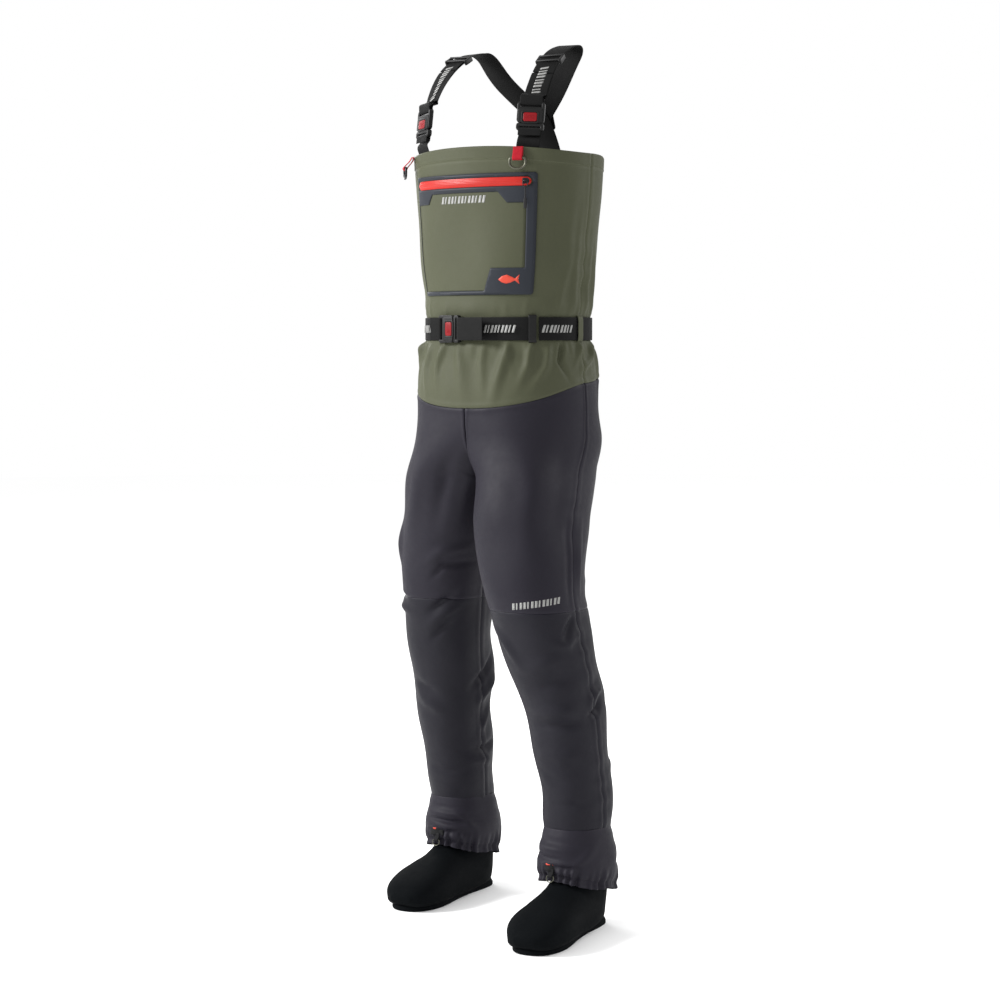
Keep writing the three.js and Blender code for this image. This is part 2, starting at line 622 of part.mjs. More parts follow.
// ---------------------------------------------------------------- rings and their tabs
// A strip of webbing folded round the straight side of a wire loop. In the group's frame the strip starts at
// the origin, hangs along -Y and leans out along Z; the loop hangs in the fold.
function hangLoop(group, tabName, loopName, { wire, width, height, tab, drop, thickness, lean }, colour) {
  const eye = wire / 2 + 0.7 + thickness / 2;
  const centre = V(0, -drop + eye, eye + 0.9 + lean);
  const fold = span(0, Math.PI, 6).map((a) => V(0, -eye * Math.sin(a), -eye * Math.cos(a)).add(centre));
  const strip = [V(0, 3, 0.9), ...fold, V(0, 3, 2 * thickness + 0.9)];
  add(tabName, ribbon(strip, () => V(1, 0, 0), tab, thickness), colour, group);
  const half = width / 2;
  const corner = (half - tab / 2) * 0.75;
  const bow = span(0, Math.PI, 12).map((a) => V(half * Math.cos(a), -height * (0.42 + 0.5 * Math.sin(a)), 0));
  const bar = [V(-half, -corner, 0), V(-half + corner, 0, 0), V(0, 0, 0), V(half - corner, 0, 0), V(half, -corner, 0)];
  const loop = wireLoop([...bow, ...bar], V(0, 0, 1), wire / 2);
  add(loopName, loop.translate(0, centre.y, centre.z), "metal", group, 0.4, 1);
}

function makeRing(side) {
  const { x, lean } = RING_PLACE[side];
  const start = frontPoint(x, 1370, 1);
  const run = frontPoint(x + 2, 1370, 1).sub(frontPoint(x - 2, 1370, 1)).normalize();
  const hem = heightRound(HEM, -Math.acos(Math.sign(x) * Math.abs(x / 180) ** (ROUNDNESS / 2)));
  const group = mountAt(start.setZ(hem - 4), V(0, 0, 1), V(run.y, -run.x, 0));
  hangLoop(group, `${side}_ring_tab`, `${side}_d_ring`, { ...RING, lean }, "tab");
}

// ---------------------------------------------------------------- chest pocket
// The point of the bib's front that has the given X when its stand-off is nothing.
function frontPoint(x, height, out) {
  const [width] = between(TORSO, height);
  return sharePoint(THREE.MathUtils.clamp(x / width, -0.98, 0.98), height, out);
}

function sharePoint(share, height, out) {
  return bibPoint(-Math.acos(Math.sign(share) * Math.abs(share) ** (ROUNDNESS / 2)), height, out);
}

// A strip of trim on the bib's front between two shares of its half width and two heights.
function frontSlab(left, right, low, high, out, thickness, columns = 16) {
  const face = (extra) => (u, v) => sharePoint(mix(left, right, u), mix(low, high, v), out + extra);
  return slab(face(thickness), face(0), columns, 6);
}

function makePocket() {
  const { left, right, top, bottom, strip, thin, out } = POCKET;
  const half = ZIP.width / 2;
  const lip = ZIP.height - half - 0.5;
  add("pocket_panel", frontSlab(left, right - strip, bottom + thin, lip, out, 1.2), "olive");
  const outer = frontSlab(left, right, bottom, top, out + 1.7, 1);
  const above = frontSlab(left - 0.1, ZIP.right + 0.03, ZIP.height - half, ZIP.height + half, -6, 20);
  const below = frontSlab(left - 0.1, right - strip, bottom + thin, lip - 18, -6, 20);
  add("pocket_frame", without(outer, above, below), "slate");
  add("zip_tape", frontSlab(ZIP.left, ZIP.right + 0.02, lip + 1, ZIP.height + half - 0.5, out, 1.6), "red");
  const place = ZIP.right - 0.03;
  const point = sharePoint(place, ZIP.height, out + 2.3);
  const run = sharePoint(place + 0.01, ZIP.height, 3).sub(sharePoint(place - 0.01, ZIP.height, 3)).normalize();
  const outward = V(run.y, -run.x, 0);
  const group = mountAt(point, run, outward);
  const body = plate(11, 13, 2.4, 2, 0.4).translate(0, 0, 1.5);
  const eye = new THREE.CylinderGeometry(1.9, 1.9, 8, 12).translate(0, 0, 4.9);
  const bridge = without(plate(10, 4.4, 5.6, 1.5).translate(0, 0, 5.1), eye);
  add("zip_slider", joined(body, bridge), "metal", group, 0.4, 1);
  const pull = [V(-4, 0, 0), V(4, 0, 0), V(4.5, 3, 0), V(3.2, 9, 0), V(-3.2, 9, 0), V(-4.5, 3, 0)];
  const cord = plate(4.6, 40, 3, 1.4, 0.8).translate(0, 28, 0);
  const hang = mountAt(point.clone().addScaledVector(outward, 4.9), V(0, 0, -1), outward);
  add("zip_pull", joined(wireLoop(pull, V(0, 0, 1), 0.9, 6), cord), "webbing", hang, 0.7);
}

makeBib();
for (const side of ["left", "right"]) {
  makeLeg(side);
  makeSock(side);
  makeGuard(side);
  makeSuspender(side);
  makeRing(side);
}
makeCrossing();
makeBelt();
makePocket();

export default waders;
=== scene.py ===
# Stockingfoot chest waders in the shape they take when worn. Everything is made in millimetres above the
# soles, with the wearer facing -Y and the wearer's left at +X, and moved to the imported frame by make().
import math

import bmesh
import bpy
import numpy as np
from mathutils import Matrix, Vector, geometry


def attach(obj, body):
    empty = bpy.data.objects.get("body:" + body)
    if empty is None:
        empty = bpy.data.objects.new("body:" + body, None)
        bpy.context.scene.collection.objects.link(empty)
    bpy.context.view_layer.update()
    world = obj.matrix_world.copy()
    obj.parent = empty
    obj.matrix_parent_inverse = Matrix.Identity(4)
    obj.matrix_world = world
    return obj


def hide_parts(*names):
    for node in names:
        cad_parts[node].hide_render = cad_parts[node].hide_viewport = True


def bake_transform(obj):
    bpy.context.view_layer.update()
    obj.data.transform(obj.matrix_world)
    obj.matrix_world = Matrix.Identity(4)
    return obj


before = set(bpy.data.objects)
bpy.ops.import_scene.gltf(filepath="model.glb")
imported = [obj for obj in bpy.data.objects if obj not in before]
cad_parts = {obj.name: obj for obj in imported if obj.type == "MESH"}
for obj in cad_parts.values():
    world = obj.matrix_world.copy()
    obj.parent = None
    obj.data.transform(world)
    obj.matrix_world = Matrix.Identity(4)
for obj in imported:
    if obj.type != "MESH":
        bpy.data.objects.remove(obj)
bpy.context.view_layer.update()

MM = 0.001
SHOULDERS = np.array([0.0, 51.0, 1557.5])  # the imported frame's origin, midway between the shoulder straps

# ---------------------------------------------------------------- sizes
GAP = 0.4
ROUNDNESS = 2.3  # superellipse exponent of the body sections
LAMINATE = 1.2
# Height, half width, half depth and centre depth of the bib.
TORSO = [
    (880, 171, 127, 0), (950, 169, 125, 0), (990, 165, 120, 0), (1030, 153, 110, 0),
    (1060, 150, 108, 0), (1090, 152, 109, 0), (1130, 160, 112, 0), (1170, 166, 114, 0),
    (1234, 172, 117, 0), (1298, 178, 121, 0), (1400, 182, 124, 0),
]
# Height, centre out from the middle, centre depth, half width and half depth of each leg.
SEAT = [(880, 34, 0, 135, 126), (930, 0, 0, 170, 126), (990, 0, 0, 165, 120), (1030, 0, 0, 153, 110)]
LEGS = {
    "left": [
        (165, 153, 2, 53, 59), (230, 154, -2, 56, 64), (330, 149, -14, 60, 70), (430, 139, -32, 69, 78),
        (520, 127, -58, 75, 84), (620, 110, -70, 83, 95), (720, 94, -56, 90, 107), (800, 82, -26, 92, 118),
        *SEAT,
    ],
    "right": [
        (165, 190, 113, 53, 59), (230, 186, 99, 56, 64), (330, 178, 71, 62, 70), (430, 163, 45, 69, 77),
        (520, 152, 22, 72, 83), (620, 138, 8, 79, 93), (720, 112, 0, 88, 107), (800, 92, -2, 91, 118),
        *SEAT,
    ],
}
SIGN = {"left": 1, "right": -1}
HEM = {"front": 1374, "side": 1362, "back": 1342, "power": 2}
WAIST_SEAM = {"front": 922, "side": 966, "back": 980, "power": 1.15}
KNEE_SEAM = 575
SOCK_SEAM = 168

GUARD_TOP, GUARD_FRONT, GUARD_BACK = 188, 100, 58
GUARD_HEM = {"width": 53, "depth": 76, "forward": 73}
FEET = {"left": ((141, 73), 10), "right": ((197, 186), -5)}  # heel, and degrees the toe turns out
SOLE = 5
# Near point (instep) and far point (heel or sole) of each section of the foot, forward of the heel and up,
# and its half width.
FOOT = [
    (130, 167, 14, 167, 52), (128, 140, 15, 140, 47), (131, 116, 6, 96, 45), (138, 104, 0, 48, 41),
    (150, 96, 10, 8, 41), (170, 87, 70, 5, 44), (197, 78, 155, 5, 49), (228, 69, 210, 5, 52),
    (256, 59, 247, 6, 48), (276, 47, 272, 9, 37), (287, 34, 285, 16, 20),
]
# Forward of the heel and half width of the sole.
SOLE_WIDTHS = [
    (4, 20), (14, 29), (40, 33), (90, 33), (140, 38), (190, 45), (225, 46), (255, 39), (272, 27), (280, 12),
]

WEB_WIDTH, WEB_THICK = 40, 1.6
BELT_HEIGHT, BELT_STAND_OFF, BELT_BUCKLE_X = 1060, 6.3, -28
STRAP_LINE = [
    (105, 51, 1557.5), (107, 9, 1546), (110, -23, 1526), (112, -50, 1497),
    (114, -74, 1458), (116, -88, 1425), (117, -94.5, 1398), (117, -97.5, 1371),
]
STRAP_YAW = 25
BUCKLE_FROM_HEM = 40
ADJUSTER_FROM_TOP = {"left": 84, "right": 58}
BACK_LINE = [
    (99, 60, 1552), (88, 65, 1537), (67, 70, 1508), (35, 82, 1474), (0, 95, 1438), (-11, 107, 1400),
    (-18, 114, 1364), (-18, 115, 1338), (-18, 113.4, 1306),
]
CROSSING = (0, 95, 1438)

SOCKET, PLUG, BUCKLE_WIDTH, BUCKLE_THICK, BAR, SLOT = 36, 13, 48, 10, 2.3, 41
SOCKET_BAR, PLUG_BAR = SOCKET - 2.5, -PLUG + 2.1  # where the webbing's bars are, from where the halves meet
RING = {"wire": 4.2, "pivot": 3.1, "width": 28, "height": 20, "tab": 17.5, "drop": 19, "thick": 1.4}
HOOK = {"pivot": 2.2, "wire": 1.8, "width": 15, "height": 11, "tab": 10, "drop": 12, "thick": 1.2, "lean": 1}
RING_PLACE = {"left": (103, 3), "right": (-150, 12)}
POCKET = {"left": -0.715, "right": 0.735, "top": 1327, "bottom": 1119, "strip": 0.09, "thin": 7}
ZIP = {"height": 1312, "width": 16, "left": -0.7, "right": 0.665}


# ---------------------------------------------------------------- numbers and curves
def between(table, height):
    """Smooth values between the rows of a table whose first column is height, without overshoot."""
    table = np.asarray(table, float)
    z, values = table[:, 0], table[:, 1:]
    height = np.clip(height, z[0], z[-1])
    k = np.clip(np.searchsorted(z, height, side="right") - 1, 0, len(z) - 2)
    secant = np.diff(values, axis=0) / np.diff(z)[:, None]
    slope = np.zeros_like(values)
    slope[0], slope[-1] = secant[0], secant[-1]
    before, after = secant[:-1], secant[1:]
    same = before * after > 0
    slope[1:-1] = np.where(same, 2 * before * after / np.where(same, before + after, 1), 0)
    span = (z[k + 1] - z[k])[..., None]
    t = (height - z[k])[..., None] / span
    smooth = 3 * t**2 - 2 * t**3
    bend = (t**3 - 2 * t**2 + t) * slope[k] * span + (t**3 - t**2) * slope[k + 1] * span
    return np.moveaxis(values[k] * (1 - smooth) + values[k + 1] * smooth + bend, -1, 0)


def bulge(value, exponent=ROUNDNESS):
    return np.sign(value) * np.abs(value) ** (2 / exponent)


def mix(a, b, t):
    return a + (b - a) * t


def step_up(value, low, high):
    t = np.clip((value - low) / (high - low), 0, 1)
    return t * t * (3 - 2 * t)


def unit(vectors):
    vectors = np.asarray(vectors, float)
    return vectors / np.linalg.norm(vectors, axis=-1, keepdims=True)


def crowded(count, crowd=0.75):
    """From 0 to 1, with the steps closer together near both ends, where the seams are."""
    t = np.linspace(0, 1, count)
    return t - crowd * np.sin(2 * np.pi * t) / (2 * np.pi)


def height_round(line, turn):
    s = np.sin(turn)
    end = np.where(s < 0, line["front"], line["back"])
    return line["side"] + (end - line["side"]) * np.abs(s) ** line["power"]


def curve_through(points, closed=False, steps=40):
    """A centripetal Catmull-Rom curve through the points."""
    points = np.asarray(points, float)
    if closed:
        chain = np.concatenate([points[-1:], points, points[:2]])
    else:
        chain = np.concatenate([[2 * points[0] - points[1]], points, [2 * points[-1] - points[-2]]])
    t = np.linspace(0, 1, steps, endpoint=False)[:, None]
    made = []
    for k in range(1, len(chain) - 2):
        p = chain[k - 1 : k + 3]
        knots = np.concatenate([[0], np.cumsum(np.linalg.norm(np.diff(p, axis=0), axis=1) ** 0.5)])
        x = knots[1] + t * (knots[2] - knots[1])
        level = list(p)
        for low, high in (((0, 1, 2), (1, 2, 3)), ((0, 1), (2, 3)), ((1,), (2,))):
            level = [
                ((knots[b] - x) * level[i] + (x - knots[a]) * level[i + 1]) / (knots[b] - knots[a])
                for i, (a, b) in enumerate(zip(low, high))
            ]
        made.append(level[0])
    return np.concatenate([*made, points[:1] if closed else points[-1:]])


class Route:
    """A path that is read by the distance along it."""

    def __init__(self, points):
        self.points = np.asarray(points, float)
        steps = np.linalg.norm(np.diff(self.points, axis=0), axis=1)
        self.marks = np.concatenate([[0], np.cumsum(steps)])
        self.length = self.marks[-1]

    def at(self, distance):
        return np.stack([np.interp(distance, self.marks, self.points[:, k]) for k in range(3)], -1)

    def way(self, distance):
        distance = np.asarray(distance, float)
        return unit(self.at(distance + 0.5) - self.at(distance - 0.5))

    def evenly(self, step):
        return np.linspace(0, self.length, max(2, round(self.length / step) + 1))


def mount(point, along, outward):
    """A frame in millimetres whose Y runs along the webbing and whose Z faces out."""
    y = unit(along)
    z = unit(np.asarray(outward, float) - np.dot(outward, y) * y)
    made = np.eye(4)
    made[:3, 0], made[:3, 1], made[:3, 2], made[:3, 3] = np.cross(y, z), y, z, point
    return made


def placed(points, frame_matrix):
    return np.asarray(points, float) @ frame_matrix[:3, :3].T + frame_matrix[:3, 3]


# ---------------------------------------------------------------- making pieces
def make(name, points, faces, finish, uv=None, seam=None, sharp=None):
    """A mesh piece from points in millimetres above the soles."""
    mesh = bpy.data.meshes.new(name)
    mesh.from_pydata(((np.asarray(points, float) - SHOULDERS) * MM).tolist(), [], [list(f) for f in faces])
    if uv is not None:
        layer = mesh.uv_layers.new(name="Cloth")
        corners = np.empty(len(mesh.loops), int)
        mesh.loops.foreach_get("vertex_index", corners)
        layer.data.foreach_set("uv", (np.asarray(uv)[corners] * MM).ravel())
    if seam is not None:
        near_seam = mesh.attributes.new("seam", "FLOAT", "POINT")
        near_seam.data.foreach_set("value", np.asarray(seam, float).ravel())
    mesh.polygons.foreach_set("use_smooth", np.full(len(mesh.polygons), True))
    mesh.materials.append(finish)
    if sharp:
        mesh.set_sharp_from_angle(angle=math.radians(sharp))
    piece = bpy.data.objects.new(name, mesh)
    bpy.context.scene.collection.objects.link(piece)
    return piece


def settle(piece, slot, *nodes, body="garment"):
    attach(piece, body)
    finish_off(piece, slot, *nodes)


def finish_off(piece, slot, *nodes):
    if nodes:
        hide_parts(*nodes)


def face_out(piece):
    work = bmesh.new()
    work.from_mesh(piece.data)
    bmesh.ops.remove_doubles(work, verts=work.verts, dist=1e-6)
    bmesh.ops.recalc_face_normals(work, faces=work.faces)
    work.to_mesh(piece.data)
    work.free()
    return piece


def thicken(piece, thickness, inner=None):
    shell = piece.modifiers.new("Thickness", "SOLIDIFY")
    shell.thickness = thickness * MM
    shell.offset = -1
    if inner:
        piece.data.materials.append(inner)
        shell.material_offset = 1
    return piece


def grid_faces(rows, columns, wrap=False, flip=False):
    i, j = np.meshgrid(np.arange(columns if wrap else columns - 1), np.arange(rows - 1))
    a, b = j * columns + i, j * columns + (i + 1) % columns
    quads = np.stack([a, b, b + columns, a + columns], -1).reshape(-1, 4)
    return (quads[:, ::-1] if flip else quads).tolist()


def combined(*parts):
    """One list of points and one of faces from several."""
    points, faces, start = [], [], 0
    for part_points, part_faces in parts:
        points.append(np.asarray(part_points, float))
        faces += [[start + k for k in face] for face in part_faces]
        start += len(part_points)
    return np.concatenate(points), faces


def ring_faces(sections, sides, closed):
    faces = grid_faces(sections + (1 if closed else 0), sides, wrap=True)
    if closed:
        total = sections * sides
        return [[k % total for k in face] for face in faces]
    return faces + [list(range(sides))[::-1], list(range((sections - 1) * sides, sections * sides))]


def tube(path, radius, sides=12, closed=False):
    """A round wire or cord along a path; radius is one number or one for each point of the path."""
    path = np.asarray(path, float)
    count = len(path)
    if closed:
        ways = unit(np.roll(path, -1, 0) - np.roll(path, 1, 0))
    else:
        ways = unit(np.gradient(path, axis=0))
    normal = unit(np.cross(ways[0], [0.13, 0.31, 0.94]))
    turn = np.linspace(0, 2 * np.pi, sides, endpoint=False)
    radii = np.broadcast_to(radius, count)
    points = []
    for point, way, r in zip(path, ways, radii):
        normal = unit(normal - np.dot(normal, way) * way)
        side = np.cross(way, normal)
        points.append(point + r * (np.cos(turn)[:, None] * normal + np.sin(turn)[:, None] * side))
    return np.concatenate(points), ring_faces(count, sides, closed)


def capsule(a, b, radius, sides=12):
    """A short rod with round ends."""
    a, b = np.asarray(a, float), np.asarray(b, float)
    way = unit(b - a)
    swing = np.radians([8, 35, 65, 90])
    start = [a - way * radius * math.cos(s) for s in swing]
    end = [b + way * radius * math.cos(s) for s in swing[::-1]]
    radii = [radius * math.sin(s) for s in swing] + [radius * math.sin(s) for s in swing[::-1]]
    return tube([*start, *end], np.array(radii), sides)


WEB_SECTION = [
    (-1, 0), (-0.97, -0.75), (-0.9, -1), (-0.45, -1), (0, -1), (0.45, -1), (0.9, -1), (0.97, -0.75),
    (1, 0), (0.97, 0.75), (0.9, 1), (0.45, 1), (0, 1), (-0.45, 1), (-0.9, 1), (-0.97, 0.75),
]


def webbing(name, path, across, finish, width=WEB_WIDTH, thick=WEB_THICK):
    """Woven strap along a path. across holds the direction of its width at each point."""
    path = np.asarray(path, float)
    way = unit(np.gradient(path, axis=0))
    across = np.broadcast_to(across, path.shape)
    side = unit(across - np.sum(across * way, -1, keepdims=True) * way)
    up = np.cross(side, way)
    section = np.array(WEB_SECTION) * [width / 2, thick / 2]
    points = path[:, None] + section[None, :, :1] * side[:, None] + section[None, :, 1:] * up[:, None]
    run = np.concatenate([[0], np.cumsum(np.linalg.norm(np.diff(path, axis=0), axis=1))])
    uv = np.stack(np.broadcast_arrays(section[None, :, 0], run[:, None]), -1)
    faces = ring_faces(len(path), len(section), False)
    piece = face_out(make(name, points.reshape(-1, 3), faces, finish, uv=uv.reshape(-1, 2)))
    piece.data.set_sharp_from_angle(angle=math.radians(60))
    return piece


def rounded(width, height, radius, x=0.0, y=0.0, steps=5):
    """A rectangle with round corners."""
    corners = []
    for k, (sx, sy) in enumerate([(1, 1), (-1, 1), (-1, -1), (1, -1)]):
        for t in np.linspace(0, math.pi / 2, steps):
            angle = t + k * math.pi / 2
            cx, cy = sx * (width / 2 - radius), sy * (height / 2 - radius)
            corners.append((x + cx + radius * math.cos(angle), y + cy + radius * math.sin(angle)))
    return corners


def moulding(outlines, thickness, bevel, z=0.0, steps=3):
    """A moulded plate with round edges. The first outline is its outside and the others are holes. Each is
    the outline of the flat face, and the round edge stands out from it by the bevel."""
    curve = bpy.data.curves.new("moulding", "CURVE")
    curve.dimensions, curve.fill_mode = "2D", "BOTH"
    curve.extrude = (thickness / 2 - bevel) * MM
    curve.bevel_depth, curve.bevel_resolution = bevel * MM, steps
    for k, outline in enumerate(outlines):
        spline = curve.splines.new("POLY")
        spline.points.add(len(outline) - 1)
        for point, (x, y) in zip(spline.points, outline if k == 0 else outline[::-1]):
            point.co = (x * MM, y * MM, 0, 1)
        spline.use_cyclic_u = True
    thing = bpy.data.objects.new("moulding", curve)
    bpy.context.scene.collection.objects.link(thing)
    bpy.context.view_layer.update()
    mesh = bpy.data.meshes.new_from_object(thing.evaluated_get(bpy.context.evaluated_depsgraph_get()))
    points = np.array([v.co for v in mesh.vertices]) / MM + [0, 0, z]
    faces = [list(p.vertices) for p in mesh.polygons]
    bpy.data.objects.remove(thing)
    bpy.data.curves.remove(curve)
    bpy.data.meshes.remove(mesh)
    return points, faces


def hard_part(name, frame_matrix, finish, *parts, sharp=38):
    points, faces = combined(*parts)
    piece = face_out(make(name, placed(points, frame_matrix), faces, finish))
    piece.data.polygons.foreach_set("use_smooth", np.full(len(piece.data.polygons), True))
    piece.data.set_sharp_from_angle(angle=math.radians(sharp))
    return piece


def filled(points, outlines):
    """Whether each point is inside the first outline and outside the others."""
    crossings = np.zeros(len(points), int)
    for outline in outlines:
        outline = np.asarray(outline, float)
        for (ax, ay), (bx, by) in zip(outline, np.roll(outline, -1, 0)):
            if ay != by:
                over = (points[:, 1] >= min(ay, by)) & (points[:, 1] < max(ay, by))
                crossings += over & (points[:, 0] < ax + (points[:, 1] - ay) * (bx - ax) / (by - ay))
    return crossings % 2 == 1


def flat_mesh(outlines, step):
    """Triangles that fill the first outline and leave the others as holes."""
    edge_points, edges = [], []
    for outline in outlines:
        outline = np.asarray(outline, float)
        first = len(edge_points)
        for a, b in zip(outline, np.roll(outline, -1, 0)):
            count = max(1, int(np.ceil(np.linalg.norm(b - a) / step)))
            edge_points += [a + (b - a) * k / count for k in range(count)]
        last = len(edge_points)
        edges += [(k, k + 1 if k + 1 < last else first) for k in range(first, last)]
    rim = np.array(edge_points)
    low, high = rim.min(0), rim.max(0)
    xs, ys = np.arange(low[0] + step / 2, high[0], step), np.arange(low[1] + step / 2, high[1], step)
    inner = np.stack(np.meshgrid(xs, ys), -1).reshape(-1, 2)
    if len(inner):
        far = np.min(np.linalg.norm(inner[:, None] - rim[None], axis=-1), axis=1) > 0.55 * step
        inner = inner[far & filled(inner, outlines)]
    every = [Vector(p) for p in np.concatenate([rim, inner])]
    made = geometry.delaunay_2d_cdt(every, edges, [], 1, 1e-4)
    flat = np.array([list(p) for p in made[0]])
    faces = np.array([list(f) for f in made[2]])
    return flat, faces[filled(flat[faces].mean(1), outlines)].tolist()


def drape(name, outlines, place, finish, thickness, step=4.0):
    """A cut piece of film or cloth laid on a surface. place gives the point for x and y on the surface."""
    flat, faces = flat_mesh(outlines, step)
    piece = make(name, place(flat[:, 0], flat[:, 1]), faces, finish, uv=flat)
    return thicken(piece, thickness)


def stitches(name, paths, finish, pitch=3.6, length=2.5, radius=0.32):
    """Rows of stitches, each a short thread that dips in at both ends."""
    parts = []
    for path in paths:
        route = Route(path)
        for start in np.arange(pitch / 2, route.length - length, pitch):
            line = route.at(start + np.array([0, 0.2, 0.5, 0.8, 1]) * length)
            parts.append(tube(line, np.array([0.35, 0.9, 1, 0.9, 0.35]) * radius, 6))
    points, faces = combined(*parts)
    return make(name, points, faces, finish)


# ---------------------------------------------------------------- finishes
class Value:
    """A shader socket whose operators add Math nodes."""

    def __init__(self, finish, socket):
        self.finish, self.socket = finish, socket

    def maths(self, operation, *inputs):
        return self.finish.node("ShaderNodeMath", {"operation": operation}, *inputs)

    def __add__(self, other):
        return self.maths("ADD", self, other)

    def __sub__(self, other):
        return self.maths("SUBTRACT", self, other)

    def __mul__(self, other):
        return self.maths("MULTIPLY", self, other)

    __radd__, __rmul__ = __add__, __mul__

    def above(self, other):
        return self.maths("GREATER_THAN", self, other)

    def wave(self):
        return self.maths("SINE", self)

    def size(self):
        return self.maths("ABSOLUTE", self)


class Finish:
    """A material with a Principled shader. Settings that are the same all over go straight on its sockets."""

    def __init__(self, name, colour, **settings):
        self.material = bpy.data.materials.new(name)
        self.material.use_nodes = True
        self.nodes = self.material.node_tree.nodes
        self.links = self.material.node_tree.links
        self.shader = self.nodes["Principled BSDF"]
        self.colour = tuple(colour) + (1.0,)
        self.shader.inputs["Base Color"].default_value = self.colour
        self.material.diffuse_color = self.colour
        for key, value in settings.items():
            self.shader.inputs[key.replace("_", " ").title().replace("Ior", "IOR")].default_value = value

    def node(self, kind, settings=None, *inputs, output=0, **named):
        made = self.nodes.new(kind)
        for key, value in (settings or {}).items():
            setattr(made, key, value)
        for key, value in [*enumerate(inputs), *named.items()]:
            if isinstance(value, Value):
                self.links.new(value.socket, made.inputs[key])
            else:
                made.inputs[key].default_value = value
        return Value(self, made.outputs[output])

    def feed(self, key, value):
        self.links.new(value.socket, self.shader.inputs[key])

    def place(self):
        return self.node("ShaderNodeTexCoord", output="Object")

    def noise(self, size_mm, detail=3.0, rough=0.55):
        scale = 1 / (size_mm * MM)
        return self.node(
            "ShaderNodeTexNoise", None, Vector=self.place(), Scale=scale, Detail=detail, Roughness=rough
        )

    def cloth(self):
        """Across and along the cloth, in metres."""
        split = self.node("ShaderNodeSeparateXYZ", None, self.node("ShaderNodeUVMap", {"uv_map": "Cloth"}))
        return split, Value(self, split.socket.node.outputs[1])

    def seam(self):
        return self.node("ShaderNodeAttribute", {"attribute_name": "seam"}, output="Fac")

    def shade(self, factor):
        """The finish's colour made lighter or darker by a factor that changes over the surface."""
        return self.node("ShaderNodeVectorMath", {"operation": "SCALE"}, self.colour[:3], Scale=factor)

    def bump(self, height, depth_mm, strength=1.0):
        depth = depth_mm * MM
        bumped = self.node("ShaderNodeBump", None, Strength=strength, Distance=depth, Height=height)
        self.feed("Normal", bumped)


def tone(red, green, blue):
    """A colour given as it looks on a screen, from 0 to 255."""
    shares = [c / 255 for c in (red, green, blue)]
    return tuple(c / 12.92 if c * 255 <= 10 else ((c + 0.055) / 1.055) ** 2.4 for c in shares)


def laminate(name, colour, pitch_mm=0.9):
    """Coated woven shell cloth: fine plain weave, faint crushing and paler rubbed seams."""
    finish = Finish(name, colour, roughness=0.6, specular_ior_level=0.14)
    across, along = finish.cloth()
    turns = 2 * math.pi / (pitch_mm * MM)
    weave = (across * turns).wave() * (along * turns).wave()
    broad, crush, fine = finish.noise(90, 4), finish.noise(14, 5, 0.6), finish.noise(1.6, 2)
    rubbed = finish.seam()
    factor = 0.86 + broad * 0.16 + fine * 0.1 + rubbed * 0.1 + weave * 0.04
    finish.feed("Base Color", finish.shade(factor))
    finish.feed("Roughness", 0.5 + crush * 0.2 - rubbed * 0.08)
    finish.bump(weave * 0.05 + crush * 0.6 + broad * 0.8, 0.9, 0.55)
    return finish.material


def lining(name, colour):
    """Knitted backing on the inside: small loops in columns."""
    finish = Finish(name, colour, roughness=0.85, specular_ior_level=0.1)
    across, along = finish.cloth()
    loops = (across * (2 * math.pi / 0.0016)).wave().size() * (along * (2 * math.pi / 0.0012)).wave()
    finish.feed("Base Color", finish.shade(0.85 + finish.noise(30) * 0.3 + loops * 0.08))
    finish.bump(loops, 0.25, 0.6)
    return finish.material


def woven_strap(name, colour, rib_mm=1.5):
    """Flat webbing: slanted ribs, firmer selvedges and a little dust."""
    finish = Finish(name, colour, roughness=0.72, specular_ior_level=0.1)
    across, along = finish.cloth()
    turns = 2 * math.pi / (rib_mm * MM)
    slant = ((across.size() * 0.55 + along) * turns).wave()
    ribs = (across * turns).wave()
    edge = across.size().above(WEB_WIDTH / 2 * MM * 0.9)
    dust = finish.noise(6, 4)
    finish.feed("Base Color", finish.shade(0.75 + slant * 0.18 + ribs * 0.08 + dust * 0.4 + edge * 0.15))
    finish.feed("Roughness", 0.62 + dust * 0.2)
    finish.bump(slant * 0.5 + ribs * 0.35, 0.25, 0.3)
    return finish.material


def moulded(name, colour, rough=0.42, grain_mm=0.7):
    """Moulded plastic with a fine spark-eroded grain and rubbed high spots."""
    finish = Finish(name, colour, roughness=rough, specular_ior_level=0.2)
    grain, rub = finish.noise(grain_mm, 2), finish.noise(9, 4, 0.65)
    finish.feed("Base Color", finish.shade(0.8 + rub * 0.35 + grain * 0.08))
    finish.feed("Roughness", (rough - 0.12) + rub * 0.26)
    finish.bump(grain, 0.06, 0.15)
    return finish.material


def foam(name, colour):
    """Neoprene with a jersey face: tiny loops over a spongy surface."""
    finish = Finish(name, colour, roughness=0.8, specular_ior_level=0.04)
    loops, sponge, broad = finish.noise(1.1, 2), finish.noise(7, 3), finish.noise(60, 3)
    finish.feed("Base Color", finish.shade(0.72 + broad * 0.3 + loops * 0.3))
    finish.feed("Roughness", 0.7 + sponge * 0.2)
    finish.bump(loops * 0.25 + sponge * 0.5, 0.5, 0.6)
    return finish.material


def plated(name, colour, rough=0.36):
    """Dull plated metal, cloudy with handling and darker in the pits."""
    finish = Finish(name, colour, roughness=rough, metallic=1.0)
    cloud, pits = finish.noise(5, 4), finish.noise(0.9, 3)
    finish.feed("Base Color", finish.shade(0.75 + cloud * 0.4 + pits * 0.1))
    finish.feed("Roughness", rough - 0.1 + cloud * 0.3)
    finish.bump(pits, 0.08, 0.5)
    return finish.material


